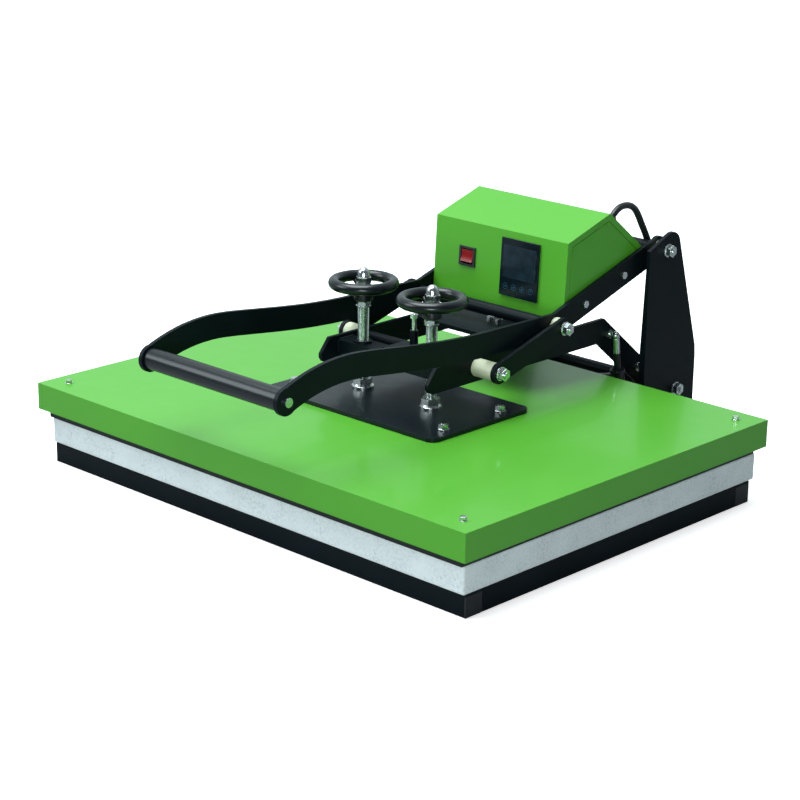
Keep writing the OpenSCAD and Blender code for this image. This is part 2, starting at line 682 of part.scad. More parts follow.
platen_top = platen_z + platen_t;
cover_screw_at = [cover_w / 2 - 32, cover_d / 2 - 31];
m5_d = 5;
mount_stud_at = [mount_pitch_x / 2, mount_pitch_y / 2];
slot_x = 60;
slot_z = cover_z + 23;
module at_corners(p) for (sx = [-1, 1], sy = [-1, 1]) translate([sx * p[0], screw_y + sy * p[1], 0]) children();
module stud_holes(z, h) {
    at_corners(cover_screw_at) translate([0, 0, z]) cylinder(h = h, r = m5_d / 2 + bolt_fit);
    at_corners(mount_stud_at) translate([0, 0, z]) cylinder(h = h, r = m8_d / 2 + bolt_fit);
}
// Tall slot that lets the cable stay put while the platen moves up and down
module cable_slot(y, depth)
    translate([slot_x, y, 0]) rotate([-90, 0, 0]) for (dz = [0, 8])
        translate([0, -slot_z + dz, 0]) cylinder(h = depth, r = cable_d / 2 + 1);

module platen_cover() color(green)
    difference() {
        translate([-cover_w / 2, screw_y - cover_d / 2, cover_z]) cube([cover_w, cover_d, cover_h]);
        translate([-cover_w / 2 + cover_wall, screw_y - cover_d / 2 + cover_wall, cover_z - 1])
            cube([cover_w - 2 * cover_wall, cover_d - 2 * cover_wall, cover_h + 1 - cover_wall]);
        stud_holes(cover_top - 10, 20);
        cable_slot(screw_y + cover_d / 2 - 10, 20);
        translate([slot_x - cable_d / 2 - 1, screw_y + cover_d / 2 - 10, slot_z - 8])
            cube([cable_d + 2, 20, 8]);
    }
module heated_platen() color("#b9bec2")
    difference() {
        translate([-platen_w / 2, screw_y - platen_d / 2, platen_z]) cube([platen_w, platen_d, platen_t]);
        stud_holes(platen_top - 10, 20);
    }
// Three loops of heating rod, bedded in the insulation on the platen's back
module heating_elements() color("#5b4a3f")
    for (y = [-200, 0, 200]) translate([0, screw_y + y * platen_d / 600, platen_top + 4.2]) {
        for (s = [-1, 1]) translate([0, s * 25, 0]) rotate([0, 90, 0]) cylinder(h = 2 * element_x, r = 4, center = true);
        for (s = [-1, 1]) translate([s * element_x, 0, 0]) intersection() {
            rotate_extrude() translate([25, 0]) circle(r = 4);
            translate([s > 0 ? 0 : -60, -60, -10]) cube([60, 120, 20]);
        }
    }
element_x = platen_w / 2 - 60;
module insulation() color("#e3dcc4")
    difference() {
        translate([-platen_w / 2 + 4, screw_y - platen_d / 2 + 4, platen_top + 9])
            cube([platen_w - 8, platen_d - 8, min(insulation_t - 9, cover_top - cover_wall - platen_top - 10)]);
        stud_holes(platen_top - 10, 80);
        translate([slot_x - 12, screw_y + platen_d / 2 - 30, platen_top]) cube([24, 60, 80]);
    }
module cover_screws() color(zinc)
    at_corners(cover_screw_at) {
        translate([0, 0, platen_top - 8]) cylinder(h = cover_top - platen_top + 8, r = m5_d / 2);
        translate([0, 0, cover_top]) cylinder(h = 1, r = 6);
        hex_z(cover_top + 1, cover_top + 5, 8.5);
    }
module mount_plate() color(steel_black)
    difference() {
        translate([0, screw_y, cover_top]) rounded_plate(mount_w, mount_d, mount_t, mount_corner);
        at_corners(mount_stud_at) translate([0, 0, cover_top - 1]) cylinder(h = mount_t + 2, r = m8_d / 2 + bolt_fit);
    }
module mount_fasteners() color(zinc)
    at_corners(mount_stud_at) {
        translate([0, 0, platen_top - 8]) cylinder(h = mount_top + 9 - platen_top + 8, r = m8_d / 2);
        pipe_z(mount_top, mount_top + 1.6, 8.5, m8_d / 2 + bolt_fit);
        difference() {
            hex_z(mount_top + 1.6, mount_top + 1.6 + m8_h, m8_flats);
            translate([0, 0, mount_top]) cylinder(h = 20, r = m8_d / 2 + bolt_fit);
        }
    }
// Sockets that the screws' tips turn in
module foot_sockets() color(zinc)
    both_sides() translate([screw_x, screw_y, 0]) difference() {
        union() {
            translate([0, 0, mount_top]) cylinder(h = 3, r = 16);
            translate([0, 0, mount_top + 3]) cylinder(h = 2.5, r1 = 14, r2 = 12.5);
            hex_z(mount_top + 3, mount_top + 14, 24);
        }
        translate([0, 0, mount_top + 1]) cylinder(h = 30, r = screw_d / 2 + running);
    }
guide_top = bracket_z + bracket_t + 44;
// Fixed rod that stands in the crossbar's bracket
module guide_rod() color(zinc)
    translate([0, guide_y, 0]) {
        translate([0, 0, bracket_z + 2.1]) cylinder(h = guide_top - bracket_z - 2.1, r = guide_d / 2);
        hex_z(guide_top - 6, guide_top - 1, 10);
    }

// Handwheels and pressure screws -------------------------------------------

rim_z = arm_z + wheel_rise;
hub_low = rim_z - 26;
hub_top = rim_z - 9;
hub_r = 13.5;
rim_r = (wheel_d - rim_d) / 2;
stub_r = 6;
module at_screw(s) translate([s * screw_x, screw_y, 0]) children();
module handwheel(s) color("#0b0c0e")
    at_screw(s) difference() {
        union() {
            translate([0, 0, hub_low]) cylinder(h = hub_top - hub_low, r = hub_r);
            translate([0, 0, rim_z]) rotate_extrude() translate([rim_r, 0]) circle(d = rim_d);
            for (a = [150, 270, 30]) rotate([0, 0, a]) spoke();
        }
        translate([0, 0, hub_low - 1]) cylinder(h = hub_top - hub_low + 2, r = stub_r + running);
    }
// A round arm that climbs from the hub to the rim
spoke_rise = 8;
spoke_l = rim_r - 8;
module spoke()
    translate([8, 0, rim_z - spoke_rise - 8]) rotate([0, 90 - atan2(spoke_rise + 3, spoke_l), 0])
        cylinder(h = norm([spoke_l, spoke_rise + 3]) - 3, r = 4.6);
module pressure_screw(s) color(zinc)
    at_screw(s) {
        translate([0, 0, mount_top + 1.1]) cylinder(h = hub_low - 8 - mount_top - 1.1, r = screw_d / 2);
        translate([0, 0, hub_low - 8]) cylinder(h = rim_z + 6 - hub_low + 8, r = stub_r);
    }
// Collar under the hub, lock nut and domed cap nut over it
module wheel_nuts(s) color(zinc)
    at_screw(s) {
        difference() {
            translate([0, 0, hub_low - 8]) union() {
                cylinder(h = 2, r1 = 9, r2 = 10.7);
                translate([0, 0, 2]) cylinder(h = 6, r = 10.7);
            }
            translate([0, 0, hub_low - 9]) cylinder(h = 10, r = stub_r + running);
        }
        difference() {
            union() {
                translate([0, 0, hub_top]) cylinder(h = 1.5, r = 12);
                hex_z(hub_top + 1.5, hub_top + 8.5, 19);
                hex_z(hub_top + 9, hub_top + 18, 19);
                translate([0, 0, hub_top + 18]) cylinder(h = 5, r1 = 9.2, r2 = 8.4);
                translate([0, 0, hub_top + 23]) intersection() {
                    sphere(r = 8.4);
                    cylinder(h = 10, r = 9);
                }
                translate([0, 0, hub_top + 8.5]) cylinder(h = 0.5, r = 8);
            }
            translate([0, 0, hub_top - 1]) cylinder(h = rim_z + 7 - hub_top, r = stub_r + running);
        }
    }
module handwheel_left() handwheel(-1);
module handwheel_right() handwheel(1);
module screw_left() pressure_screw(-1);
module screw_right() pressure_screw(1);
module wheel_nuts_left() wheel_nuts(-1);
module wheel_nuts_right() wheel_nuts(1);

// Gas springs, drawn along Z from the foot pin -----------------------------

piston_r = spring_d / 2 - 2;
piston_z = 17;
guide_h = 4.5;
fitting_l = 28;
module along_spring(s) mirror([s < 0 ? 1 : 0, 0, 0])
    translate([spring_x, spring_foot[0], spring_foot[1]]) rotate([spring_lean, 0, 0]) children();
module gas_tube(s) color("#141518")
    along_spring(s) difference() {
        union() {
            rotate([0, 90, 0]) cylinder(h = ear_gap - 2 * gap, r = 7.5, center = true);
            translate([0, 0, 4]) cylinder(h = 8, r = 5);
            translate([0, 0, 11]) cylinder(h = spring_tube_l - 11, r = spring_d / 2);
            translate([0, 0, spring_tube_l - 6]) cylinder(h = 6, r = spring_d / 2 + 1);
        }
        rotate([0, 90, 0]) cylinder(h = 40, r = 4 + running, center = true);
        translate([0, 0, piston_z - 2]) cylinder(h = spring_tube_l - guide_h - piston_z + 2, r = piston_r + running);
        translate([0, 0, piston_z]) cylinder(h = 100, r = spring_rod_d / 2 + running);
    }
// Rod with its piston, and the ball socket on its end as a second piece
module gas_rod(s) along_spring(s) {
    color("#141518") {
        translate([0, 0, piston_z]) cylinder(h = 5.5, r = piston_r);
        translate([0, 0, piston_z + 5]) cylinder(h = spring_l - fitting_l - piston_z - 5, r = spring_rod_d / 2);
    }
    color(zinc) translate([0, 0, spring_l]) {
        translate([0, 0, -fitting_l]) cylinder(h = fitting_l - 4, r = spring_rod_d / 2 + 0.2);
        sphere(r = 6);
    }
}
module gas_tube_left() gas_tube(-1);
module gas_tube_right() gas_tube(1);
module gas_rod_left() gas_rod(-1);
module gas_rod_right() gas_rod(1);

// Heater cable -------------------------------------------------------------

// Route from the control box's gland to the clip, as [X, Y, Z]
upper_route = [
    [100, 352.5, 355.5], [100, 361, 359], [100, 372, 359.5], [100, 384, 357], [100, 395, 350],
    [100, 404, 339], [100.5, 412, 325], [101, 421, 310], [102, 429, 294], [104, 434, 278],
    [108, 439, 261], [115, 444, 243], [125, 449, 225], [134, 452, 210]];
// Route from the clip to the slot in the cover's back
lower_route = [
    [138, 453, 163], [136, 455, 147], [131, 460, 132], [120, 466, 120], [106, 469, 112],
    [94, 466, 104], [86, 458, 96], [81, 447, 91], [77, 434, 88.5], [73, 418, 87], [69, 400, 87],
    [66, 380, 89], [63, 360, 93], [61, 340, 98], [60, 322, 102]];
gland_end = pivot_a + rotated(gland_at + (gland_l + 0.1) * gland_out, lever_tilt);
gland_next = pivot_a + rotated(gland_at + (gland_l + 4) * gland_out, lever_tilt);
function rotated(p, a) = [p[0] * cos(a) - p[1] * sin(a), p[0] * sin(a) + p[1] * cos(a)];

// A tube of diameter d that follows points; ref is never along the tube
module swept_tube(pts, d, ref, sides = 10) {
    n = len(pts);
    along = [for (i = [0:n - 1]) unit(pts[min(i + 1, n - 1)] - pts[max(i - 1, 0)])];
    rings = [for (i = [0:n - 1]) let (u = unit(cross(along[i], ref)), v = cross(along[i], u))
        for (k = [0:sides - 1]) pts[i] + d / 2 * (cos(360 * k / sides) * u + sin(360 * k / sides) * v)];
    polyhedron(rings, concat(
        [[for (k = [0:sides - 1]) k]],
        [for (i = [0:n - 2], k = [0:sides - 1]) let (a = i * sides + k, b = i * sides + (k + 1) % sides)
            [a, a + sides, b + sides, b]],
        [[for (k = [sides - 1:-1:0]) (n - 1) * sides + k]]));
}
module heater_cable_upper() color("#111214")
    swept_tube(concat([[gland_x, gland_end[0], gland_end[1]], [gland_x, gland_next[0], gland_next[1]]], upper_route,
        [[clip_x, clip_cable_y, clip_at[1] + 7], [clip_x, clip_cable_y, clip_at[1]]]), cable_d, [1, 0, 0]);
module heater_cable_lower() color("#111214")
    swept_tube(concat([[clip_x, clip_cable_y, clip_at[1]], [clip_x, clip_cable_y, clip_at[1] - 8]], lower_route,
        [[slot_x, screw_y + cover_d / 2, slot_z], [slot_x, screw_y + cover_d / 2 - 14, slot_z]]),
        cable_d, [-1, 1, 1]);

base_cross_tubes();
base_side_tubes();
base_rails();
tube_end_plugs();
base_plate();
silicone_pad();
upright_left();
upright_right();
frame_axles();
frame_fasteners();
frame_spacers();
spring_brackets();
cable_clip();
lever_left();
lever_right();
grip_tube();
lever_sleeves();
lever_axle();
lever_fasteners();
lever_spacers();
box_shell();
box_side_panels();
panel_screws();
box_tray();
controller_body();
controller_glass();
switch_bezel();
control_electronics();
cable_gland();
switch_rocker();
link_left();
link_right();
link_fasteners();
link_spacers();
arm_left();
arm_right();
arm_sleeves();
arm_crossbar();
arm_fasteners();
platen_cover();
cover_screws();
heated_platen();
heating_elements();
insulation();
mount_plate();
mount_fasteners();
foot_sockets();
guide_rod();
handwheel_left();
screw_left();
wheel_nuts_left();
handwheel_right();
screw_right();
wheel_nuts_right();
gas_tube_left();
gas_tube_right();
gas_rod_left();
gas_rod_right();
heater_cable_upper();
heater_cable_lower();
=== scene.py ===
"""Looks of a large-format clamshell heat press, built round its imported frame.

Every place comes from the frame's own nodes and joints.
Metres, +X to the operator's right, +Y to the back, +Z up.
"""

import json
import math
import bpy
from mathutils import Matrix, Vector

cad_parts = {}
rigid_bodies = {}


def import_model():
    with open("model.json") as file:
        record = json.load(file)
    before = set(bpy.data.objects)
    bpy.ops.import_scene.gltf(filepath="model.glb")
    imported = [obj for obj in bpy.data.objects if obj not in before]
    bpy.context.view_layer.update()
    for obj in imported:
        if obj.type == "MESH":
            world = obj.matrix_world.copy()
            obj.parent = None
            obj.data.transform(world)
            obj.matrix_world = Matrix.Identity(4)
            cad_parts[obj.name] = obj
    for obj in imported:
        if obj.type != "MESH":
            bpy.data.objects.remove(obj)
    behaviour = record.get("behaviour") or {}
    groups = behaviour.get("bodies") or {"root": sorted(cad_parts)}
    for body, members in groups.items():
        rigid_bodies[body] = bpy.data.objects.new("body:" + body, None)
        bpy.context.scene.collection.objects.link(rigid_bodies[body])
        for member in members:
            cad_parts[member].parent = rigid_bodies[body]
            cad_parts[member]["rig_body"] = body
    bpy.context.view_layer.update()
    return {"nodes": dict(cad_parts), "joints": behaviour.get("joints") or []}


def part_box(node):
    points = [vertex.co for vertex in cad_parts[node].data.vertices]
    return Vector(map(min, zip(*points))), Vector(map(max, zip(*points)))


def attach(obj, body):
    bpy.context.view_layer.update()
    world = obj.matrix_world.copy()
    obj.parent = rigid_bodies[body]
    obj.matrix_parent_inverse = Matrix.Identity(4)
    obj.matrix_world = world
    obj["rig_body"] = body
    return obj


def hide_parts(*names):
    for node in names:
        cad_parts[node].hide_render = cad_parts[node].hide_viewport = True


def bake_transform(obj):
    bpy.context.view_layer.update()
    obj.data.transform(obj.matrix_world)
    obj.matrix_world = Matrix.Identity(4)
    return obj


bl_info = {
    "name": "Clamshell Heat Press",
    "version": (1, 0, 0),
    "blender": (4, 5, 0),
    "location": "3D View > Sidebar > Heat Press",
    "description": "Builds the finishes and fine pieces of a clamshell heat press round its frame",
    "category": "Object",
}

import bmesh
import bpy
from bpy.props import FloatProperty, FloatVectorProperty, PointerProperty
from mathutils import Matrix, Vector, noise

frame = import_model()
joints = {joint["name"]: joint for joint in frame["joints"]}

MM = 0.001
TURN = 2 * math.pi
THREAD_DEPTH = 0.6  # of the pitch


# Where things are -----------------------------------------------------------


def pivot(joint):
    """A hinge's place, as a vector."""
    return Vector(joints[joint]["pos_m"])


def facing(at, out, across=Vector((0, 0, 1))):
    """A matrix whose +Z looks along out and whose origin is at."""
    z = Vector(out).normalized()
    x = across.cross(z) if abs(across.dot(z)) < 0.99 else Vector((1, 0, 0))
    x.normalize()
    y = z.cross(x)
    turn = Matrix((x, y, z)).transposed().to_4x4()
    return Matrix.Translation(at) @ turn


# Sizes and colours a user would change --------------------------------------


def length_property(name, description, default, least=0.0):
    """A small length, given in millimetres."""
    return FloatProperty(
        name=name, description=description, default=default * MM, min=least * MM, unit="LENGTH"
    )


class HeatPressSizes(bpy.types.PropertyGroup):
    """Small sizes of the finished pieces."""

    edge_round: length_property("Plate edge radius", "How far the edges of laser-cut plates are broken", 0.6)
    fold_round: length_property("Fold radius", "Outer radius of the folds in the green covers", 2.2)
    tube_round: length_property("Tube corner radius", "Outer corner radius of the base's tube", 2.0)
    pad_round: length_property("Pad edge radius", "How soft the edges of the silicone pad are", 2.5)
    pad_waviness: length_property("Pad waviness", "How far the cut sides of the pad wander", 0.5)
    rim_thickness: length_property("Rim thickness", "Thickness of the handwheels' round rims", 16, 1)
    spoke_width: length_property("Spoke width", "Width of a handwheel's spokes at the hub", 12, 1)
    screw_pitch: length_property("Screw pitch", "Pitch of the pressure screws", 2, 0.5)
    bolt_pitch: length_property("Bolt pitch", "Pitch of the pivot bolts", 1.5, 0.5)
    cable_diameter: length_property("Cable diameter", "Outer diameter of the heater cable", 10, 1)


def colour_property(name, description, default):
    return FloatVectorProperty(
        name=name, description=description, default=default, size=4, min=0, max=1, subtype="COLOR"
    )


class HeatPressColours(bpy.types.PropertyGroup):
    """Base colours of the finishes."""

    green: colour_property("Green coat", "Powder coat of the covers", (0.078, 0.352, 0.020, 1))
    black: colour_property("Black coat", "Powder coat of the frame and arms", (0.0024, 0.0058, 0.0085, 1))
    zinc: colour_property("Zinc", "Plated screws, nuts and bolts", (0.66, 0.70, 0.70, 1))
    gloss_black: colour_property("Gloss black", "Handwheels and grip", (0.0025, 0.005, 0.007, 1))
    plastic: colour_property("Black plastic", "Plugs, bezel and cable", (0.012, 0.014, 0.016, 1))
    nylon: colour_property("Nylon", "Rollers and spacers", (0.58, 0.60, 0.43, 1))
    silicone: colour_property("Silicone", "Table pad", (0.82, 0.88, 0.88, 1))
    red: colour_property("Red", "Rocker switch", (0.22, 0.004, 0.007, 1))
    glass: colour_property("Dark glass", "Controller's front", (0.003, 0.008, 0.012, 1))
    screen: colour_property("Screen", "Controller's display", (0.008, 0.018, 0.027, 1))
    touch_mark: colour_property("Touch mark", "Marks on the controller's keys", (0.02, 0.08, 0.14, 1))
    # Painted shade: the heated platen is made almost black, where its recessed side under the cover lies in
    # shade.
    platen_painted_shade: colour_property("Platen painted shade", "Heated platen darkened as painted shade", (0.02, 0.021, 0.023, 1))
    sheet_steel: colour_property("Sheet steel", "Tray in the box", (0.48, 0.50, 0.51, 1))
    blanket: colour_property("Blanket", "Insulation", (0.72, 0.69, 0.55, 1))
    element: colour_property("Heating rod", "Heat-darkened rods", (0.16, 0.12, 0.10, 1))
    floor: colour_property("Floor", "Studio floor", (0.93, 0.93, 0.93, 1))


def sizes():
    return bpy.context.scene.heat_press_sizes


def colours():
    return bpy.context.scene.heat_press_colours


# Shader node groups ---------------------------------------------------------


SOCKET_KINDS = {1: "NodeSocketFloat", 3: "NodeSocketVector", 4: "NodeSocketColor"}


def new_group(name, inputs, outputs):
    """An empty shader group, what it is given and its end node.

    A socket's kind follows from how many numbers it holds.
    """
    group = bpy.data.node_groups.new(name, "ShaderNodeTree")
    for label, default in inputs.items():
        kind = SOCKET_KINDS[1 if isinstance(default, float) else len(default)]
        socket = group.interface.new_socket(label, in_out="INPUT", socket_type=kind)
        socket.default_value = default
    for label, numbers in outputs.items():
        group.interface.new_socket(label, in_out="OUTPUT", socket_type=SOCKET_KINDS[numbers])
    given = group.nodes.new("NodeGroupInput").outputs
    end = group.nodes.new("NodeGroupOutput")
    return group, given, end


def feed(tree, socket, value):
    """Links a socket to another node's output, or sets it."""
    if isinstance(value, bpy.types.NodeSocket):
        tree.links.new(value, socket)
    else:
        socket.default_value = value


def noise_node(tree, vector, scale, detail=3, roughness=0.5):
    node = tree.nodes.new("ShaderNodeTexNoise")
    for label, value in zip(("Vector", "Scale", "Detail", "Roughness"), (vector, scale, detail, roughness)):
        feed(tree, node.inputs[label], value)
    return node.outputs["Fac"]


def math_node(tree, operation, a, b, clamp=False):
    node = tree.nodes.new("ShaderNodeMath")
    node.operation = operation
    node.use_clamp = clamp
    feed(tree, node.inputs[0], a)
    feed(tree, node.inputs[1], b)
    return node.outputs[0]


def range_node(tree, value, low, high, to_low=0.0, to_high=1.0):
    node = tree.nodes.new("ShaderNodeMapRange")
    labels = ("Value", "From Min", "From Max", "To Min", "To Max")
    for label, number in zip(labels, (value, low, high, to_low, to_high)):
        feed(tree, node.inputs[label], number)
    return node.outputs[0]


def mix_colours(tree, factor, a, b):
    node = tree.nodes.new("ShaderNodeMix")
    node.data_type = "RGBA"
    for index, value in ((0, factor), (6, a), (7, b)):
        feed(tree, node.inputs[index], value)
    return node.outputs[2]


def tone_group():
    """Slow drift of a finish's colour and gloss, as on any coated or moulded surface."""
    inputs = {
        "Vector": (0, 0, 0),
        "Color": (0.5, 0.5, 0.5, 1),
        "Amount": 0.1,
        "Scale": 20.0,
        "Roughness": 0.4,
        "Gloss Drift": 0.08,
    }
    group, given, end = new_group("Tone", inputs, {"Color": 4, "Roughness": 1})
    slow = noise_node(group, given["Vector"], given["Scale"], 4, 0.55)
    drift = range_node(group, slow, 0.3, 0.7, -1.0, 1.0)
    bright = group.nodes.new("ShaderNodeHueSaturation")
    shift = math_node(group, "MULTIPLY", drift, given["Amount"])
    group.links.new(math_node(group, "ADD", shift, 1.0), bright.inputs["Value"])
    group.links.new(given["Color"], bright.inputs["Color"])
    group.links.new(bright.outputs["Color"], end.inputs["Color"])
    fine = math_node(group, "MULTIPLY", given["Scale"], 7.3)
    quick = noise_node(group, given["Vector"], fine, 5, 0.6)
    smear = range_node(group, quick, 0.3, 0.7, -1.0, 1.0)
    gloss = math_node(group, "MULTIPLY", smear, given["Gloss Drift"])
    group.links.new(math_node(group, "ADD", gloss, given["Roughness"], True), end.inputs["Roughness"])
    return group


def coat_skin_group():
    """The fine orange-peel skin of a powder coat, and the grain of moulded or cast pieces."""
    inputs = {"Vector": (0, 0, 0), "Scale": 600.0, "Grain": 0.3}
    group, given, end = new_group("Coat Skin", inputs, {"Height": 1})
    peel = noise_node(group, given["Vector"], given["Scale"], 2, 0.4)
    finer = math_node(group, "MULTIPLY", given["Scale"], 3.7)
    grain = noise_node(group, given["Vector"], finer, 3, 0.7)
    fine = math_node(group, "MULTIPLY", grain, given["Grain"])
    group.links.new(math_node(group, "ADD", peel, fine), end.inputs["Height"])
    return group


def edge_highlight_group():
    """Mask of the outer edges, broken up, where a lighter painted highlight is laid on a coat."""
    inputs = {"Vector": (0, 0, 0), "Width": 0.001, "Amount": 0.5}
    group, given, end = new_group("Painted Edge Highlight", inputs, {"Mask": 1})
    soft = group.nodes.new("ShaderNodeBevel")
    soft.samples = 4
    group.links.new(given["Width"], soft.inputs["Radius"])
    flat = group.nodes.new("ShaderNodeNewGeometry")
    dot = group.nodes.new("ShaderNodeVectorMath")
    dot.operation = "DOT_PRODUCT"
    group.links.new(soft.outputs["Normal"], dot.inputs[0])
    group.links.new(flat.outputs["Normal"], dot.inputs[1])
    # Painted highlight mask: high where the rounded normal turns away from the true normal, at the edges.
    edge = range_node(group, dot.outputs["Value"], 0.99, 0.85)
    patch = noise_node(group, given["Vector"], 90.0, 5, 0.7)
    broken = range_node(group, patch, 0.42, 0.62)
    highlit = math_node(group, "MULTIPLY", edge, broken)
    group.links.new(math_node(group, "MULTIPLY", highlit, given["Amount"], True), end.inputs["Mask"])
    return group


def fleck_group():
    """Small dark or light flecks and pores, as in sponge or blanket."""
    inputs = {
        "Vector": (0, 0, 0),
        "Color": (0.8, 0.8, 0.8, 1),
        "Fleck Color": (0.3, 0.3, 0.3, 1),
        "Scale": 300.0,
        "Share": 0.5,
    }
    group, given, end = new_group("Flecks", inputs, {"Color": 4, "Height": 1})
    coarse = noise_node(group, given["Vector"], given["Scale"], 6, 0.72)
    spots = range_node(group, coarse, 0.47, 0.68)
    broad = math_node(group, "MULTIPLY", given["Scale"], 0.12)
    patches = noise_node(group, given["Vector"], broad, 3, 0.6)
    crowd = range_node(group, patches, 0.35, 0.7)
    crowded = math_node(group, "MULTIPLY", crowd, given["Share"])
    share = math_node(group, "MULTIPLY", spots, crowded, True)
    mixed = mix_colours(group, share, given["Color"], given["Fleck Color"])
    group.links.new(mixed, end.inputs["Color"])
    group.links.new(math_node(group, "SUBTRACT", 1.0, spots), end.inputs["Height"])
    return group


GROUP_MAKERS = {
    "Tone": tone_group,
    "Coat Skin": coat_skin_group,
    "Painted Edge Highlight": edge_highlight_group,
    "Flecks": fleck_group,
}


def put_group(tree, name, **values):
    """Places a group in a material, made the first time it is asked for."""
    node = tree.nodes.new("ShaderNodeGroup")
    node.node_tree = bpy.data.node_groups.get(name) or GROUP_MAKERS[name]()
    for label, value in values.items():
        feed(tree, node.inputs[label.replace("_", " ")], value)
    return node


# Materials ------------------------------------------------------------------


def start_material(name):
    """A material with its Principled shader and an Object coordinate to hang patterns on."""
    material = bpy.data.materials.new(name)
    material.use_nodes = True
    tree = material.node_tree
    shader = tree.nodes["Principled BSDF"]
    place = tree.nodes.new("ShaderNodeTexCoord").outputs["Object"]
    return material, tree, shader, place


def add_bump(tree, shader, height, distance):
    bump = tree.nodes.new("ShaderNodeBump")
    bump.inputs["Distance"].default_value = distance
    bump.inputs["Strength"].default_value = 1.0
    tree.links.new(height, bump.inputs["Height"])
    tree.links.new(bump.outputs["Normal"], shader.inputs["Normal"])


def add_tone(tree, shader, place, colour, roughness, amount, scale, gloss_drift):
    """Gives a finish its drifting colour and gloss."""
    tone = put_group(
        tree, "Tone", Vector=place, Color=colour, Amount=amount, Scale=scale, Roughness=roughness,
        Gloss_Drift=gloss_drift,
    )
    tree.links.new(tone.outputs["Color"], shader.inputs["Base Color"])
    tree.links.new(tone.outputs["Roughness"], shader.inputs["Roughness"])
    return tone


def add_skin(tree, shader, place, scale, grain, depth):
    """Gives a finish its fine skin."""
    skin = put_group(tree, "Coat Skin", Vector=place, Scale=scale, Grain=grain)
    add_bump(tree, shader, skin.outputs["Height"], depth)


def coated(name, colour, roughness, amount, scale, peel, peel_height, edge_highlight=None, coat=0.0, specular=0.5):
    """Powder coat or moulded plastic: drifting tone, a fine skin and, where asked, a painted highlight along
    the outer edges.
    """
    material, tree, shader, place = start_material(name)
    tone = add_tone(tree, shader, place, tuple(colour), roughness, amount, scale, 0.03)
    # Painted highlight: a lighter colour is mixed in along the outer edges.
    if edge_highlight:
        width, share, edge_highlight_colour = edge_highlight
        edges = put_group(tree, "Painted Edge Highlight", Vector=place, Width=width, Amount=share)
        highlit = mix_colours(tree, edges.outputs["Mask"], tone.outputs["Color"], edge_highlight_colour)
        tree.links.new(highlit, shader.inputs["Base Color"])
    add_skin(tree, shader, place, peel, 0.3, peel_height)
    shader.inputs["Specular IOR Level"].default_value = specular
    shader.inputs["Coat Weight"].default_value = coat
    shader.inputs["Coat Roughness"].default_value = 0.08
    return material


def metal(name, colour, roughness, amount, scale, grain, grain_height):
    """Bare or plated metal with a clouded, faintly brushed skin."""
    material, tree, shader, place = start_material(name)
    add_tone(tree, shader, place, tuple(colour), roughness, amount, scale, 0.12)
    add_skin(tree, shader, place, grain, 0.5, grain_height)
    shader.inputs["Metallic"].default_value = 1.0
    return material


def flecked(name, colour, fleck, scale, share, roughness, depth):
    """Sponge or woven blanket: matt, with pores and flecks."""
    material, tree, shader, place = start_material(name)
    spots = put_group(
        tree, "Flecks", Vector=place, Color=tuple(colour), Fleck_Color=fleck, Scale=scale, Share=share
    )
    add_tone(tree, shader, place, spots.outputs["Color"], roughness, 0.06, 14.0, 0.05)
    add_bump(tree, shader, spots.outputs["Height"], depth)
    shader.inputs["Specular IOR Level"].default_value = 0.3
    return material


def let_light_in(material, weight, radius):
    """Lets light a little way into a moulded piece."""
    shader = material.node_tree.nodes["Principled BSDF"]
    shader.inputs["Subsurface Weight"].default_value = weight
    shader.inputs["Subsurface Radius"].default_value = radius


def make_green_coat():
    return coated("Green Coat", colours().green, 0.36, 0.03, 3.0, 420.0, 0.000006, coat=0.15, specular=0.45)


def make_black_coat():
    # Painted highlight: a lighter grey laid along the black coat's outer edges.
    edge_highlight_colour = (0.055, 0.062, 0.068, 1)
    edge_highlight = (0.8 * MM, 0.5, edge_highlight_colour)
    return coated("Black Coat", colours().black, 0.42, 0.25, 9.0, 700.0, 0.00004, edge_highlight=edge_highlight, specular=0.14)


def make_plate_coat():
    return coated("Plate Coat", colours().black, 0.32, 0.2, 9.0, 500.0, 0.00002, coat=0.08, specular=0.2)


def make_zinc():
    return metal("Zinc", colours().zinc, 0.22, 0.10, 160.0, 900.0, 0.00002)


def make_gloss_black():
    colour = colours().gloss_black
    return coated("Gloss Black", colour, 0.30, 0.2, 25.0, 260.0, 0.00002, coat=0.15, specular=0.4)


def make_plastic():
    return coated("Black Plastic", colours().plastic, 0.5, 0.2, 40.0, 1400.0, 0.00004)


def make_cable_jacket():
    return coated("Cable Jacket", colours().plastic, 0.34, 0.2, 30.0, 900.0, 0.00003)


def make_nylon():
    material = coated("Nylon", colours().nylon, 0.36, 0.05, 60.0, 700.0, 0.00003)
    let_light_in(material, 0.12, (0.004, 0.004, 0.003))
    return material


def make_silicone():
    return flecked("Silicone Sponge", colours().silicone, (0.42, 0.48, 0.48, 1), 260.0, 0.75, 0.75, 0.0003)


def make_blanket():
    return flecked("Blanket", colours().blanket, (0.45, 0.40, 0.28, 1), 400.0, 0.8, 0.9, 0.0006)


def make_red():
    material = coated(
        "Red Rocker", colours().red, 0.22, 0.08, 80.0, 500.0, 0.00001, coat=0.1, specular=0.3
    )
    let_light_in(material, 0.2, (0.003, 0.0005, 0.0005))
    return material


def make_glass():
    return coated("Dark Glass", colours().glass, 0.12, 0.1, 30.0, 60.0, 0.000004, coat=0.08, specular=0.22)


def make_screen():
    return coated("Screen", colours().screen, 0.2, 0.5, 55.0, 60.0, 0.000004, coat=0.08, specular=0.22)


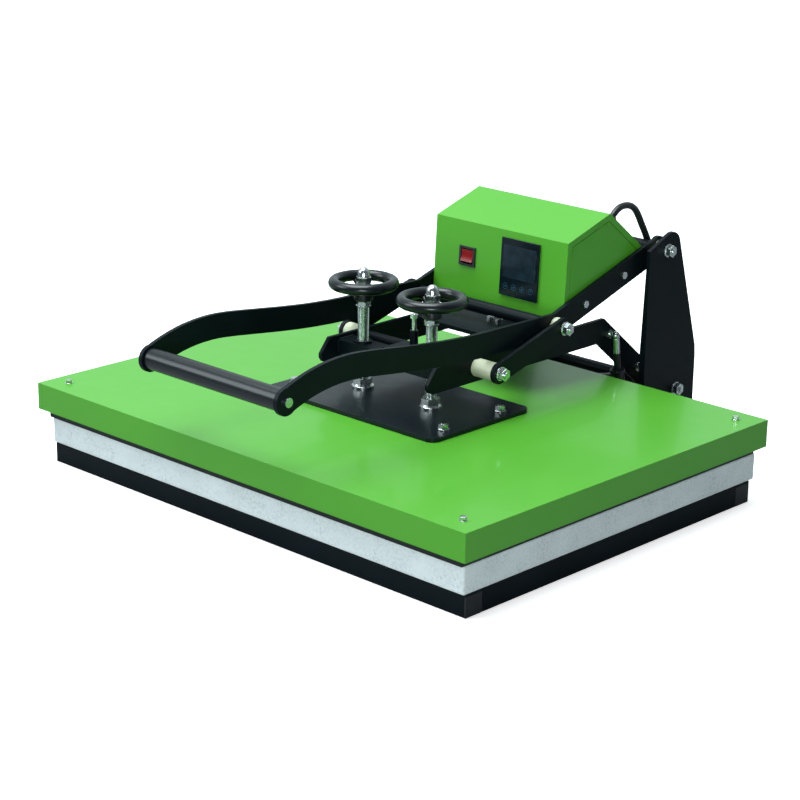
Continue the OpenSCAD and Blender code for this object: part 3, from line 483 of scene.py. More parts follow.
def make_touch_mark():
    material = coated("Touch Mark", colours().touch_mark, 0.3, 0.2, 300.0, 300.0, 0.000004)
    shader = material.node_tree.nodes["Principled BSDF"]
    shader.inputs["Emission Color"].default_value = colours().touch_mark
    shader.inputs["Emission Strength"].default_value = 0.12
    return material


# Painted shade: a near-black finish for the heated platen, whose side lies in shade under the cover.
def make_platen_painted_shade():
    return coated("Platen Painted Shade", colours().platen_painted_shade, 0.5, 0.1, 30.0, 350.0, 0.00003, specular=0.2)


def make_sheet_steel():
    return metal("Sheet Steel", colours().sheet_steel, 0.38, 0.15, 50.0, 400.0, 0.00003)


def make_element():
    return metal("Heating Rod", colours().element, 0.5, 0.3, 60.0, 500.0, 0.00004)


FINISH_MAKERS = {
    "green_coat": (make_green_coat, "green_steel"),
    "black_coat": (make_black_coat, "black_steel"),
    "plate_coat": (make_plate_coat, "black_steel"),
    "zinc": (make_zinc, "zinc"),
    "gloss_black": (make_gloss_black, "black_plastic"),
    "spring_black": (make_gloss_black, "gas_spring_black"),
    "plastic": (make_plastic, "matt_black_plastic"),
    "cable_jacket": (make_cable_jacket, "cable_jacket"),
    "nylon": (make_nylon, "nylon"),
    "silicone": (make_silicone, "silicone"),
    "blanket": (make_blanket, "blanket"),
    "red": (make_red, "red_plastic"),
    "glass": (make_glass, "dark_glass"),
    "screen": (make_screen, "dark_glass"),
    "touch_mark": (make_touch_mark, "dark_glass"),
    "platen_painted_shade": (make_platen_painted_shade, "aluminium"),
    "sheet_steel": (make_sheet_steel, "galvanised"),
    "element": (make_element, "element"),
}
made_finishes = {}


def finish(name):
    """The material of a finish, made the first time it is asked for."""
    maker = FINISH_MAKERS[name][0]
    if maker not in made_finishes:
        made_finishes[maker] = maker()
    return made_finishes[maker]


# Shaping helpers ------------------------------------------------------------


def paint(obj, name):
    obj.data.materials.clear()
    obj.data.materials.append(finish(name))


def merged_copy(node):
    """A frame node's shape as one merged mesh of whole faces."""
    bm = bmesh.new()
    bm.from_mesh(frame["nodes"][node].data)
    bmesh.ops.remove_doubles(bm, verts=bm.verts, dist=2e-6)
    bmesh.ops.dissolve_limit(
        bm, angle_limit=math.radians(0.5), use_dissolve_boundaries=False, verts=bm.verts, edges=bm.edges
    )
    return bm


def round_edges(bm, edges, radius, segments):
    bmesh.ops.bevel(
        bm, geom=edges, offset=radius, offset_type="OFFSET", segments=segments, profile=0.5, affect="EDGES",
        clamp_overlap=True, material=-1,
    )


def refine(node, name, radius, segments=2, sharp=35):
    """Makes the finished piece of a frame node: broken edges, clean shading and its finish."""
    bm = merged_copy(node)
    limit = math.radians(sharp)
    if radius:
        edges = [e for e in bm.edges if len(e.link_faces) == 2 and e.calc_face_angle(0) > limit]
        round_edges(bm, edges, radius, segments)
    return make_piece(node.title(), bm, name, frame["nodes"][node]["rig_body"], [node])


def refine_all(names, finish_name, radius, segments=2, sharp=35):
    for node in names:
        refine(node, finish_name, radius, segments, sharp)


def make_piece(name, bm, finish_name, body, stands_for=(), sharp=40):
    """Turns a bmesh into a piece that rides on a body and stands for frame nodes."""
    bmesh.ops.remove_doubles(bm, verts=bm.verts, dist=2e-6)
    bmesh.ops.recalc_face_normals(bm, faces=bm.faces)
    limit = math.radians(sharp)
    for face in bm.faces:
        face.smooth = True
    for edge in bm.edges:
        edge.smooth = len(edge.link_faces) != 2 or edge.calc_face_angle(0) < limit
    mesh = bpy.data.meshes.new(name)
    bm.to_mesh(mesh)
    bm.free()
    obj = bpy.data.objects.new(name, mesh)
    bpy.context.scene.collection.objects.link(obj)
    paint(obj, finish_name)
    even = obj.modifiers.new("Normals", "WEIGHTED_NORMAL")
    even.keep_sharp = True
    if body:
        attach(obj, body)
    if stands_for:
        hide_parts(*stands_for)
    return obj


def join_into(bm, part, matrix=None):
    """Moves a finished shape to its place and adds it to a piece."""
    if matrix is not None:
        bmesh.ops.transform(part, matrix=matrix, verts=part.verts)
    bmesh.ops.remove_doubles(part, verts=part.verts, dist=1e-6)
    bmesh.ops.recalc_face_normals(part, faces=part.faces)
    mesh = bpy.data.meshes.new("shape")
    part.to_mesh(mesh)
    part.free()
    bm.from_mesh(mesh)
    bpy.data.meshes.remove(mesh)


def turned_shape(points, steps=48, closed=False):
    """A shape of its own, turned from a profile of (radius, height) points about Z."""
    part = bmesh.new()
    verts = [part.verts.new((radius, 0, height)) for radius, height in points]
    pairs = list(zip(verts, verts[1:]))
    if closed:
        pairs.append((verts[-1], verts[0]))
    edges = [part.edges.new(pair) for pair in pairs]
    bmesh.ops.spin(
        part, geom=verts + edges, cent=(0, 0, 0), axis=(0, 0, 1), angle=TURN, steps=steps, use_merge=True
    )
    return part


def spin_profile(bm, points, matrix, steps=48, closed=False):
    """Adds a turned shape to a piece, about matrix's Z axis."""
    join_into(bm, turned_shape(points, steps, closed), matrix)


def ring(bm, matrix, outer, bore, low, high, chamfer, steps=48):
    """A washer, bush or flange between two heights."""
    points = [(bore, low), (outer - chamfer, low), (outer, low + chamfer)]
    points += [(outer, high - chamfer), (outer - chamfer, high), (bore, high)]
    spin_profile(bm, points, matrix, steps, closed=True)


def rod(bm, matrix, radius, low, high, chamfer, steps=40):
    """A round bar with chamfered ends."""
    points = [(0, low), (radius - chamfer, low), (radius, low + chamfer)]
    points += [(radius, high - chamfer), (radius - chamfer, high), (0, high)]
    spin_profile(bm, points, matrix, steps)


def hexagon(bm, matrix, flats, low, high, bore, both=True):
    """A nut or bolt head whose corners are cut back by a cone, as on a real one."""
    a = flats / 2
    corner = a / math.cos(math.radians(30))
    rise = math.tan(math.radians(30))
    seat = 0.96 * a
    top = (corner - seat) * rise
    foot = top if both else 0
    points = [(seat if both else corner, low), (corner, low + foot), (corner, high - top), (seat, high)]
    if bore:
        points = [(bore, low)] + points + [(bore + 0.5 * MM, high), (bore, high - 0.5 * MM)]
    else:
        points = [(0, low)] + points + [(0, high)]
    part = turned_shape(points, 48, closed=bool(bore))
    for vert in part.verts:
        reach = math.hypot(vert.co.x, vert.co.y)
        if reach < seat + 1e-7:
            continue
        angle = (math.atan2(vert.co.y, vert.co.x) + math.radians(30)) % math.radians(60) - math.radians(30)
        side = a / math.cos(angle)
        vert.co.x *= side / reach
        vert.co.y *= side / reach
        height = max(0.0, side - seat) * rise
        upper = vert.co.z > (low + high) / 2
        if upper:
            vert.co.z = high - height
        elif both:
            vert.co.z = low + height
    join_into(bm, part, matrix)


def thread(bm, matrix, radius, pitch, low, high, steps=24):
    """A true helical thread, closed at both ends."""
    depth = THREAD_DEPTH * pitch
    turns = max(1, int((high - low) / pitch) - 1)
    points = [(radius - depth, 0), (radius, 0.44 * pitch), (radius, 0.56 * pitch), (radius - depth, pitch)]
    part = bmesh.new()
    verts = [part.verts.new((r, 0, low + h)) for r, h in points]
    edges = [part.edges.new(pair) for pair in zip(verts, verts[1:])]
    bmesh.ops.spin(
        part, geom=verts + edges, cent=(0, 0, 0), axis=(0, 0, 1), dvec=(0, 0, pitch / steps),
        angle=TURN * turns, steps=steps * turns, use_merge=False,
    )
    bmesh.ops.remove_doubles(part, verts=part.verts, dist=pitch / 50)
    join_into(bm, part, matrix)


def block(bm, low, high, radius=0.0, segments=2, matrix=None):
    """A box between two corners with rounded edges."""
    low, high = Vector(low), Vector(high)
    part = bmesh.new()
    bmesh.ops.create_cube(part, size=1)
    bmesh.ops.scale(part, vec=high - low, verts=part.verts)
    bmesh.ops.translate(part, vec=(low + high) / 2, verts=part.verts)
    if radius:
        round_edges(part, part.edges[:], radius, segments)
    join_into(bm, part, matrix)


# Stage and camera -----------------------------------------------------------


class Builder:
    """Runs an operator's own build."""

    def execute(self, context):
        self.build()
        return {"FINISHED"}


class HEATPRESS_OT_stage(Builder, bpy.types.Operator):
    """Adds the camera, the pale floor, the studio lights and the world"""

    bl_idname = "heatpress.stage"
    bl_label = "Stage"

    def build(self):
        scene = bpy.context.scene
        add_camera(scene)
        add_floor(scene)
        add_world(scene)
        add_lights(scene)
        scene.view_settings.view_transform = "Standard"


def add_camera(scene):
    """A long lens from the front right, a little above the machine."""
    azimuth, elevation, roll = (math.radians(a) for a in (43.64, 17.859, 0.815))
    right = Vector((math.cos(azimuth), math.sin(azimuth), 0))
    level = Vector((math.sin(azimuth), -math.cos(azimuth), 0))
    back = level * math.cos(elevation) + Vector((0, 0, math.sin(elevation)))
    up = back.cross(right)
    turn = Matrix((right, up, back)).transposed().to_4x4() @ Matrix.Rotation(roll, 4, "Z")
    data = bpy.data.cameras.new("Camera")
    data.sensor_width = 36
    data.lens = 100.28
    data.clip_start = 0.05
    data.clip_end = 60
    camera = bpy.data.objects.new("Camera", data)
    camera.matrix_world = Matrix.Translation((2.0598, -2.1535, 1.0811)) @ turn
    scene.collection.objects.link(camera)
    scene.camera = camera


def add_floor(scene):
    """A wide pale floor under the machine."""
    bm = bmesh.new()
    bmesh.ops.create_circle(bm, cap_ends=True, segments=64, radius=14)
    mesh = bpy.data.meshes.new("Studio_Floor")
    bm.to_mesh(mesh)
    bm.free()
    floor = bpy.data.objects.new("Studio_Floor", mesh)
    floor.location.z = -0.0005
    scene.collection.objects.link(floor)
    material, tree, shader, place = start_material("Floor")
    tone = put_group(tree, "Tone", Vector=place, Color=tuple(colours().floor), Amount=0.004, Scale=1.5)
    seen = tree.nodes.new("ShaderNodeLightPath").outputs["Is Camera Ray"]
    shown = mix_colours(tree, seen, (0.24, 0.25, 0.26, 1), tone.outputs["Color"])
    tree.links.new(shown, shader.inputs["Base Color"])
    lift = mix_colours(tree, seen, (0, 0, 0, 1), (0.6, 0.58, 0.58, 1))
    tree.links.new(lift, shader.inputs["Emission Color"])
    shader.inputs["Emission Strength"].default_value = 1.0
    shader.inputs["Roughness"].default_value = 0.8
    shader.inputs["Specular IOR Level"].default_value = 0.1
    mesh.materials.append(material)


def add_world(scene):
    """White to the camera; to the machine, bright behind and above and dim on the camera's side."""
    world = bpy.data.worlds.new("Studio")
    scene.world = world
    world.use_nodes = True
    tree = world.node_tree
    tree.nodes.clear()
    out = tree.nodes.new("ShaderNodeOutputWorld")
    place = tree.nodes.new("ShaderNodeTexCoord").outputs["Generated"]
    toward = tree.nodes.new("ShaderNodeVectorMath")
    toward.operation = "DOT_PRODUCT"
    toward.inputs[1].default_value = (-0.62, 0.66, 0.42)
    tree.links.new(place, toward.inputs[0])
    glow = range_node(tree, toward.outputs["Value"], -0.15, 0.9, 0.12, 0.8)
    studio = tree.nodes.new("ShaderNodeBackground")
    studio.inputs["Color"].default_value = (0.82, 0.96, 1.0, 1)
    tree.links.new(glow, studio.inputs["Strength"])
    seen = tree.nodes.new("ShaderNodeBackground")
    seen.inputs["Color"].default_value = (1, 1, 1, 1)
    seen.inputs["Strength"].default_value = 1.0
    path = tree.nodes.new("ShaderNodeLightPath")
    mix = tree.nodes.new("ShaderNodeMixShader")
    tree.links.new(path.outputs["Is Camera Ray"], mix.inputs[0])
    tree.links.new(studio.outputs[0], mix.inputs[1])
    tree.links.new(seen.outputs[0], mix.inputs[2])
    tree.links.new(mix.outputs[0], out.inputs["Surface"])


def add_softbox(scene, name, place, target, width, height, power):
    data = bpy.data.lights.new(name, "AREA")
    data.shape = "RECTANGLE"
    data.size = width
    data.size_y = height
    data.energy = power
    data.color = (0.88, 0.975, 1.0)
    light = bpy.data.objects.new(name, data)
    light.matrix_world = facing(Vector(place), Vector(place) - Vector(target))
    scene.collection.objects.link(light)


def add_lights(scene):
    """A large soft light high overhead, one at the left, and a weak fill at the front right."""
    add_softbox(scene, "Top_Softbox", (-0.5, -0.5, 3.2), (0, 0, 0.1), 2.6, 2.4, 168)
    add_softbox(scene, "Left_Softbox", (-1.6, -2.0, 1.5), (0, 0, 0.1), 1.4, 1.4, 30)
    add_softbox(scene, "Front_Fill", (2.2, -2.6, 0.4), (0, 0, 0.1), 1.2, 0.8, 42)


# Cables ---------------------------------------------------------------------


def smooth_route(points, parts=6):
    """More points along the smooth curve through a route's points."""
    route = []
    last = len(points) - 1
    for i in range(last):
        p0, p1 = points[max(i - 1, 0)], points[i]
        p2, p3 = points[i + 1], points[min(i + 2, last)]
        for step in range(parts):
            t = step / parts
            bend = (2 * p1) + (p2 - p0) * t
            bend += (2 * p0 - 5 * p1 + 4 * p2 - p3) * t ** 2
            bend += (3 * p1 - p0 - 3 * p2 + p3) * t ** 3
            route.append(bend / 2)
    route.append(points[-1])
    return route


def swept_cable(name, route, diameter, sides=20):
    """A round cable of one diameter along a route, closed at both ends."""
    data = bpy.data.curves.new(name, "CURVE")
    data.dimensions = "3D"
    data.bevel_depth = diameter / 2
    data.bevel_resolution = sides // 4
    data.use_fill_caps = True
    spline = data.splines.new("POLY")
    spline.points.add(len(route) - 1)
    for point, place in zip(spline.points, route):
        point.co = (*place, 1)
    curve = bpy.data.objects.new(name, data)
    bpy.context.scene.collection.objects.link(curve)
    bpy.context.view_layer.update()
    mesh = bpy.data.meshes.new_from_object(curve)
    bpy.data.objects.remove(curve)
    bm = bmesh.new()
    bm.from_mesh(mesh)
    bpy.data.meshes.remove(mesh)
    return make_piece(name, bm, "cable_jacket", None)


def route_points(rows):
    return [Vector(row) * MM for row in rows]


# From the gland on the box's rear slope, over the upper axle and down to the clip
UPPER_ROUTE = [
    (100, 342.767, 347.355), (100, 345.164, 350.431),
    (100, 352.5, 355.5), (100, 361, 358.85), (100, 372, 359.3), (100, 384, 356.9), (100, 395, 350),
    (100, 404, 339), (100.5, 412, 325), (101, 421, 310), (102, 429, 294), (104, 434, 278),
    (108, 439, 261), (115, 444, 243), (125, 449, 225), (134, 452, 210),
]
# From the clip down behind the platen and forwards into the slot in its cover
LOWER_ROUTE = [
    (138, 453, 163), (136, 455, 147), (131, 460, 132), (120, 466, 120), (106, 469, 112),
    (94, 466, 104), (86, 458, 96), (81, 447, 91), (77, 434, 88.5), (73, 418, 87), (69, 400, 87),
    (66, 380, 89), (63, 360, 93), (61, 340, 98), (60, 322, 102),
]


CLIP_HOLD = (138.5 * MM, 453 * MM)  # x and y of the cable in the clip
COVER_INLET = (60 * MM, 104 * MM)  # x and z of the slot in the platen's cover


class HEATPRESS_OT_heater_cable(Builder, bpy.types.Operator):
    """Lays the heater cable from the box's gland to the clip and on to the platen"""

    bl_idname = "heatpress.heater_cable"
    bl_label = "Heater Cable"

    def build(self):
        thick = sizes().cable_diameter
        clip_low, clip_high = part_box("cable_clip")
        hold = Vector((*CLIP_HOLD, (clip_low.z + clip_high.z) / 2))
        upper = route_points(UPPER_ROUTE) + [hold + Vector((0, 0, 7 * MM)), hold]
        gland = refine("cable_gland", "plastic", 0.4 * MM)
        path = smooth_route(upper)
        cable = swept_cable("Heater_Cable_Upper", path, thick)
        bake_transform(cable)
        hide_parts("heater_cable_upper")
        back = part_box("platen_cover")[1].y
        inlet = Vector((COVER_INLET[0], back, COVER_INLET[1]))
        lower = [hold, hold - Vector((0, 0, 8 * MM))] + route_points(LOWER_ROUTE)
        lower += [inlet, inlet - Vector((0, 14 * MM, 0))]
        path = smooth_route(lower)
        lead = swept_cable("Heater_Cable_Lower", path, thick)
        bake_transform(lead)
        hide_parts("heater_cable_lower")
        refine("cable_clip", "plastic", 0.3 * MM)


# Base and pad ---------------------------------------------------------------


class HEATPRESS_OT_base(Builder, bpy.types.Operator):
    """Finishes the base's tubes, rails, plugs and table sheet"""

    bl_idname = "heatpress.base"
    bl_label = "Base Frame"

    def build(self):
        tubes = ("base_cross_tubes", "base_side_tubes", "base_rails")
        refine_all(tubes, "black_coat", sizes().tube_round / 2, 3)
        refine("base_plate", "black_coat", sizes().edge_round)
        refine("tube_end_plugs", "plastic", sizes().edge_round)


class HEATPRESS_OT_pad(Builder, bpy.types.Operator):
    """Makes the silicone sponge pad with soft, slightly wavy cut sides"""

    bl_idname = "heatpress.pad"
    bl_label = "Silicone Pad"

    def build(self):
        low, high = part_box("silicone_pad")
        bm = bmesh.new()
        block(bm, low, high)
        for axis, cuts in ((0, 90), (1, 68), (2, 5)):
            along = [e for e in bm.edges if abs((e.verts[0].co - e.verts[1].co).normalized()[axis]) > 0.9]
            bmesh.ops.subdivide_edges(bm, edges=along, cuts=cuts, use_grid_fill=True)
        corners = [e for e in bm.edges if e.calc_face_angle(0) > 1]
        round_edges(bm, corners, sizes().pad_round, 3)
        bm.normal_update()
        wave = sizes().pad_waviness
        for vert in bm.verts:
            side = 1 - abs(vert.normal.z)
            wander = noise.noise(vert.co * 45) + 0.5 * noise.noise(vert.co * 160)
            vert.co -= vert.normal * wave * (0.25 + 0.75 * side) * abs(wander)
        pad = make_piece("Silicone_Pad", bm, "silicone", "frame", ["silicone_pad"], sharp=80)


# Uprights, arms, lever, links -----------------------------------------------


AXLE_RADIUS = 5 * MM
AXLE_THREAD = 14 * MM


def pivot_rod(bm, place, half):
    """An axle along X with threaded, chamfered ends."""
    pitch = sizes().bolt_pitch
    line = facing(Vector((0, place.y, place.z)), (1, 0, 0))
    rod(bm, line, AXLE_RADIUS - THREAD_DEPTH * pitch, -half, half, 0.8 * MM)
    rod(bm, line, AXLE_RADIUS, -half + AXLE_THREAD, half - AXLE_THREAD, 0.4 * MM)
    for side in (-1, 1):
        end = facing(Vector((0, place.y, place.z)), (side, 0, 0))
        thread(bm, end, AXLE_RADIUS, pitch, half - AXLE_THREAD - 1.2 * MM, half - 0.5 * MM, 20)


class HEATPRESS_OT_uprights(Builder, bpy.types.Operator):
    """Finishes the uprights, their axles, nuts, nylon spacers and spring brackets"""

    bl_idname = "heatpress.uprights"
    bl_label = "Uprights"

    def build(self):
        refine_all(("upright_left", "upright_right"), "black_coat", sizes().edge_round)
        refine("frame_spacers", "nylon", 0.8 * MM)
        refine("spring_brackets", "zinc", 0.5 * MM)
        refine("frame_fasteners", "zinc", 0.3 * MM)
        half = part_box("frame_axles")[1].x
        bm = bmesh.new()
        for joint in ("lever_turn", "press_opening"):
            pivot_rod(bm, pivot(joint), half)
        make_piece("Frame_Axles", bm, "zinc", "frame", ["frame_axles"])


class HEATPRESS_OT_press_arm(Builder, bpy.types.Operator):
    """Finishes the arm plates, the crossbar, the tubes and the bolts between them"""

    bl_idname = "heatpress.press_arm"
    bl_label = "Pressure Arm"

    def build(self):
        refine_all(("arm_left", "arm_right"), "black_coat", sizes().edge_round)
        refine("arm_sleeves", "black_coat", 0.4 * MM)
        refine("arm_crossbar", "black_coat", sizes().edge_round)
        refine("arm_fasteners", "zinc", 0.3 * MM)
        add_weld_beads()


def weld_bead(bm, start, end, width):
    """A row of overlapping ripples, as a hand weld leaves."""
    line = end - start
    count = max(2, int(line.length / (0.55 * width)))
    for step in range(count + 1):
        place = start + line * step / count
        made = bmesh.ops.create_icosphere(bm, subdivisions=2, radius=width / 2)["verts"]
        squeeze = 0.9 + 0.16 * noise.noise(place * 900)
        bmesh.ops.scale(bm, vec=(squeeze, squeeze, squeeze), verts=made)
        bmesh.ops.translate(bm, vec=place, verts=made)


def add_weld_beads():
    """Welds where the crossbar's ends meet the arm plates."""
    low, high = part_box("arm_crossbar")
    front, back = low.y, low.y + 32 * MM
    floor, roof = low.z, low.z + 20 * MM
    bm = bmesh.new()
    for x in (low.x + 0.8 * MM, high.x - 0.8 * MM):
        for z in (floor, roof):
            weld_bead(bm, Vector((x, front + 3 * MM, z)), Vector((x, back - 3 * MM, z)), 4.5 * MM)
        for y in (front, back):
            weld_bead(bm, Vector((x, y, floor + 3 * MM)), Vector((x, y, roof - 3 * MM)), 4.5 * MM)
    make_piece("Arm_Welds", bm, "black_coat", "press_arm")


class HEATPRESS_OT_lever(Builder, bpy.types.Operator):
    """Finishes the lever plates, the grip and the lever's pivots"""

    bl_idname = "heatpress.lever"
    bl_label = "Hand Lever"

    def build(self):
        refine_all(("lever_left", "lever_right"), "black_coat", sizes().edge_round, sharp=30)
        refine("lever_sleeves", "black_coat", 0.4 * MM)
        refine("lever_spacers", "nylon", 0.8 * MM)
        refine("lever_fasteners", "zinc", 0.3 * MM)
        refine("grip_tube", "gloss_black", 1.2 * MM, 3)
        bm = bmesh.new()
        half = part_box("lever_axle")[1].x
        pivot_rod(bm, pivot("link_turn"), half)
        make_piece("Lever_Axle", bm, "zinc", "lever", ["lever_axle"])


class HEATPRESS_OT_links(Builder, bpy.types.Operator):
    """Finishes the toggle links with their bolts and nylon rollers"""

    bl_idname = "heatpress.links"
    bl_label = "Toggle Links"

    def build(self):
        refine_all(("link_left", "link_right"), "black_coat", sizes().edge_round)
        refine("link_spacers", "nylon", 1.0 * MM)
        refine("link_fasteners", "zinc", 0.3 * MM)


# Platen ---------------------------------------------------------------------


class HEATPRESS_OT_platen(Builder, bpy.types.Operator):
    """Finishes the green cover, the heated platen, its insulation and the mount plate"""

    bl_idname = "heatpress.platen"
    bl_label = "Heated Platen"

    def build(self):
        refine("platen_cover", "green_coat", sizes().fold_round, 4)
        # Painted shade: the heated platen gets the almost black finish that stands for its shaded side.
        refine("heated_platen", "platen_painted_shade", 1.0 * MM)
        refine("heating_elements", "element", 0)
        refine("insulation", "blanket", 2.0 * MM)
        refine("mount_plate", "plate_coat", 0.8 * MM, 3)
        refine("mount_fasteners", "zinc", 0.3 * MM)
        refine("foot_sockets", "zinc", 0.4 * MM)
        refine("guide_rod", "zinc", 0.4 * MM)
        add_cover_screws()


def add_cover_screws():
    """Small hexagon bolts on washers near the cover's corners."""
    low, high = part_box("cover_screws")
    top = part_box("platen_cover")[1].z
    radius = 6 * MM
    bm = bmesh.new()
    for x in (low.x + radius, high.x - radius):
        for y in (low.y + radius, high.y - radius):
            seat = Matrix.Translation((x, y, top))
            ring(bm, seat, radius, 2.6 * MM, 0, 1 * MM, 0.2 * MM)
            hexagon(bm, seat, 8.4 * MM, 1 * MM, 5 * MM, 0)
            rod(bm, seat, 2.5 * MM, low.z - top, 1 * MM, 0.3 * MM, 20)
    make_piece("Cover_Screws", bm, "zinc", "platen", ["cover_screws"])


# Handwheels -----------------------------------------------------------------


WHEEL_BORE = 6.1 * MM


def add_handwheel(side):
    """A spoked wheel with its screw, collar, lock nut and cap nut."""
    node, body = f"handwheel_{side}", f"wheel_{side}"
    low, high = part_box(node)
    centre = Vector(((low.x + high.x) / 2, (low.y + high.y) / 2, 0))
    axis = Matrix.Translation(centre)
    rim = sizes().rim_thickness / 2
    rim_z = high.z - rim
    rim_r = (high.x - low.x) / 2 - rim
    bm = bmesh.new()
    angles = [TURN * i / 24 for i in range(24)]
    circle = [(rim_r + rim * math.cos(a), rim_z + rim * math.sin(a)) for a in angles]
    spin_profile(bm, circle, axis, 96, closed=True)
    hub_top = rim_z - 9 * MM
    hub = [(WHEEL_BORE, low.z), (11 * MM, low.z), (13.5 * MM, low.z + 2 * MM)]
    hub += [(13.5 * MM, hub_top - 4 * MM), (12.2 * MM, hub_top - 1 * MM)]
    hub += [(11 * MM, hub_top), (WHEEL_BORE, hub_top)]
    spin_profile(bm, hub, axis, 64, closed=True)
    for turn in (30, 150, 270):
        add_spoke(bm, axis @ Matrix.Rotation(math.radians(turn), 4, "Z"), hub_top, rim_r, rim_z)
    make_piece(f"Handwheel_{side.title()}", bm, "gloss_black", body, [node], sharp=50)
    add_press_screw(side, axis, low.z)
    add_wheel_nuts(side, axis, low.z, hub_top)


def add_spoke(bm, matrix, hub_top, rim_r, rim_z):
    """A flat oval spoke that climbs from the hub to the rim."""
    wide = sizes().spoke_width / 2
    part = bmesh.new()
    stations = 9
    rings = []
    for step in range(stations):
        share = step / (stations - 1)
        reach = 8 * MM + (rim_r - 10 * MM) * share
        climb = hub_top - 7.5 * MM + (rim_z - hub_top + 4 * MM) * share ** 1.2
        half_w = wide * (1 - 0.35 * math.sin(math.pi * min(1, share * 1.1)))
        half_h = 4.6 * MM * (1 - 0.12 * math.sin(math.pi * share))
        turn = Matrix.Rotation(math.radians(90), 4, "Z") @ Matrix.Rotation(math.radians(90), 4, "X")
        place = Matrix.Translation((reach, 0, climb)) @ turn @ Matrix.Diagonal((half_w, half_h, 1, 1))
        end = step in (0, stations - 1)
        made = bmesh.ops.create_circle(part, cap_ends=end, segments=24, radius=1, matrix=place)
        ring_verts = set(made["verts"])
        rings.append([e for e in part.edges if e.verts[0] in ring_verts and e.verts[1] in ring_verts])
    for near, far in zip(rings, rings[1:]):
        bmesh.ops.bridge_loops(part, edges=near + far)
    join_into(bm, part, matrix)


def add_press_screw(side, axis, hub_low):
    """The pressure screw with its thread, from the socket up into the hub."""
    node = f"screw_{side}"
    low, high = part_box(node)
    radius = (high.x - low.x) / 2
    pitch = sizes().screw_pitch
    collar = hub_low - 8 * MM
    bm = bmesh.new()
    rod(bm, axis, radius - THREAD_DEPTH * pitch, low.z, collar, 0.8 * MM)
    thread(bm, axis, radius, pitch, low.z + 1 * MM, collar, 28)
    rod(bm, axis, 6 * MM, collar - 1 * MM, high.z, 0.8 * MM, 32)
    make_piece(f"Press_Screw_{side.title()}", bm, "zinc", f"wheel_{side}", [node])


def add_wheel_nuts(side, axis, hub_low, hub_top):
    """Collar under the hub, and washer, lock nut and domed cap nut on it."""
    node = f"wheel_nuts_{side}"
    bm = bmesh.new()
    hexagon(bm, axis, 18.6 * MM, hub_low - 6.6 * MM, hub_low, WHEEL_BORE, both=False)
    ring(bm, axis, 10.6 * MM, WHEEL_BORE, hub_low - 8 * MM, hub_low - 6 * MM, 0.5 * MM)
    ring(bm, axis, 12 * MM, WHEEL_BORE, hub_top, hub_top + 1.5 * MM, 0.3 * MM)
    hexagon(bm, axis, 19 * MM, hub_top + 1.5 * MM, hub_top + 8.5 * MM, WHEEL_BORE)
    hexagon(bm, axis, 19 * MM, hub_top + 8.6 * MM, hub_top + 18 * MM, 0, both=True)
    base = hub_top + 17 * MM
    dome = [(0, base), (9.2 * MM, base), (9.2 * MM, base + 2 * MM), (8.6 * MM, base + 6 * MM)]
    top = base + 6 * MM
    dome += [(8.4 * MM * math.cos(a), top + 8.4 * MM * math.sin(a)) for a in (0.25, 0.5, 0.75, 1.0, 1.25)]
    dome += [(0, top + 8.4 * MM)]
    spin_profile(bm, dome, axis, 40)
    make_piece(f"Wheel_Nuts_{side.title()}", bm, "zinc", f"wheel_{side}", [node])


class HEATPRESS_OT_handwheels(Builder, bpy.types.Operator):
    """Makes the two pressure handwheels with their screws and nuts"""

    bl_idname = "heatpress.handwheels"
    bl_label = "Pressure Handwheels"

    def build(self):
        for side in ("left", "right"):
            add_handwheel(side)


# Control box ----------------------------------------------------------------


def box_front():
    """The control box's front face as a matrix: +Z outwards, +Y up the face, origin at the glass's middle."""
    low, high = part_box("controller_glass")
    mesh = frame["nodes"]["controller_glass"].data
    out = max(mesh.polygons, key=lambda p: (-p.normal.y, p.area)).normal.copy()
    centre = (low + high) / 2
    x = Vector((1, 0, 0))
    y = out.cross(x)
    turn = Matrix((x, y, out)).transposed().to_4x4()
    return Matrix.Translation(centre + out * 0.75 * MM) @ turn


class HEATPRESS_OT_control_box(Builder, bpy.types.Operator):
    """Finishes the control box with its panels, controller and tray"""

    bl_idname = "heatpress.control_box"
    bl_label = "Control Box"

    def build(self):
        refine("box_shell", "green_coat", 0.9 * MM, 3)
        refine("box_side_panels", "green_coat", 0.3 * MM)
        refine("panel_screws", "green_coat", 0.2 * MM)
        refine("box_tray", "sheet_steel", 0.3 * MM)
        refine("control_electronics", "plastic", 0.8 * MM)
        refine("controller_body", "plastic", 0.4 * MM)
        add_controller_face()


GLASS_HEIGHT = 84.5 * MM
KEY_RISE = 14 * MM  # from the glass's lower edge to the middle of its keys
KEY_MARKS = {  # corners of each key's bars, in mm from its middle
    -24: [(-1.6, -0.5, 1.6, 0.5)],
    -8: [(-1.6, -0.5, 1.6, 0.5), (-0.5, -1.6, 0.5, 1.6)],
    8: [(-1.4, -0.5, 1.4, 0.5), (-1.4, 1.0, 1.4, 1.6), (-1.4, -1.6, 1.4, -1.0)],
    24: [(-0.5, -0.2, 0.5, 2.4)],
}


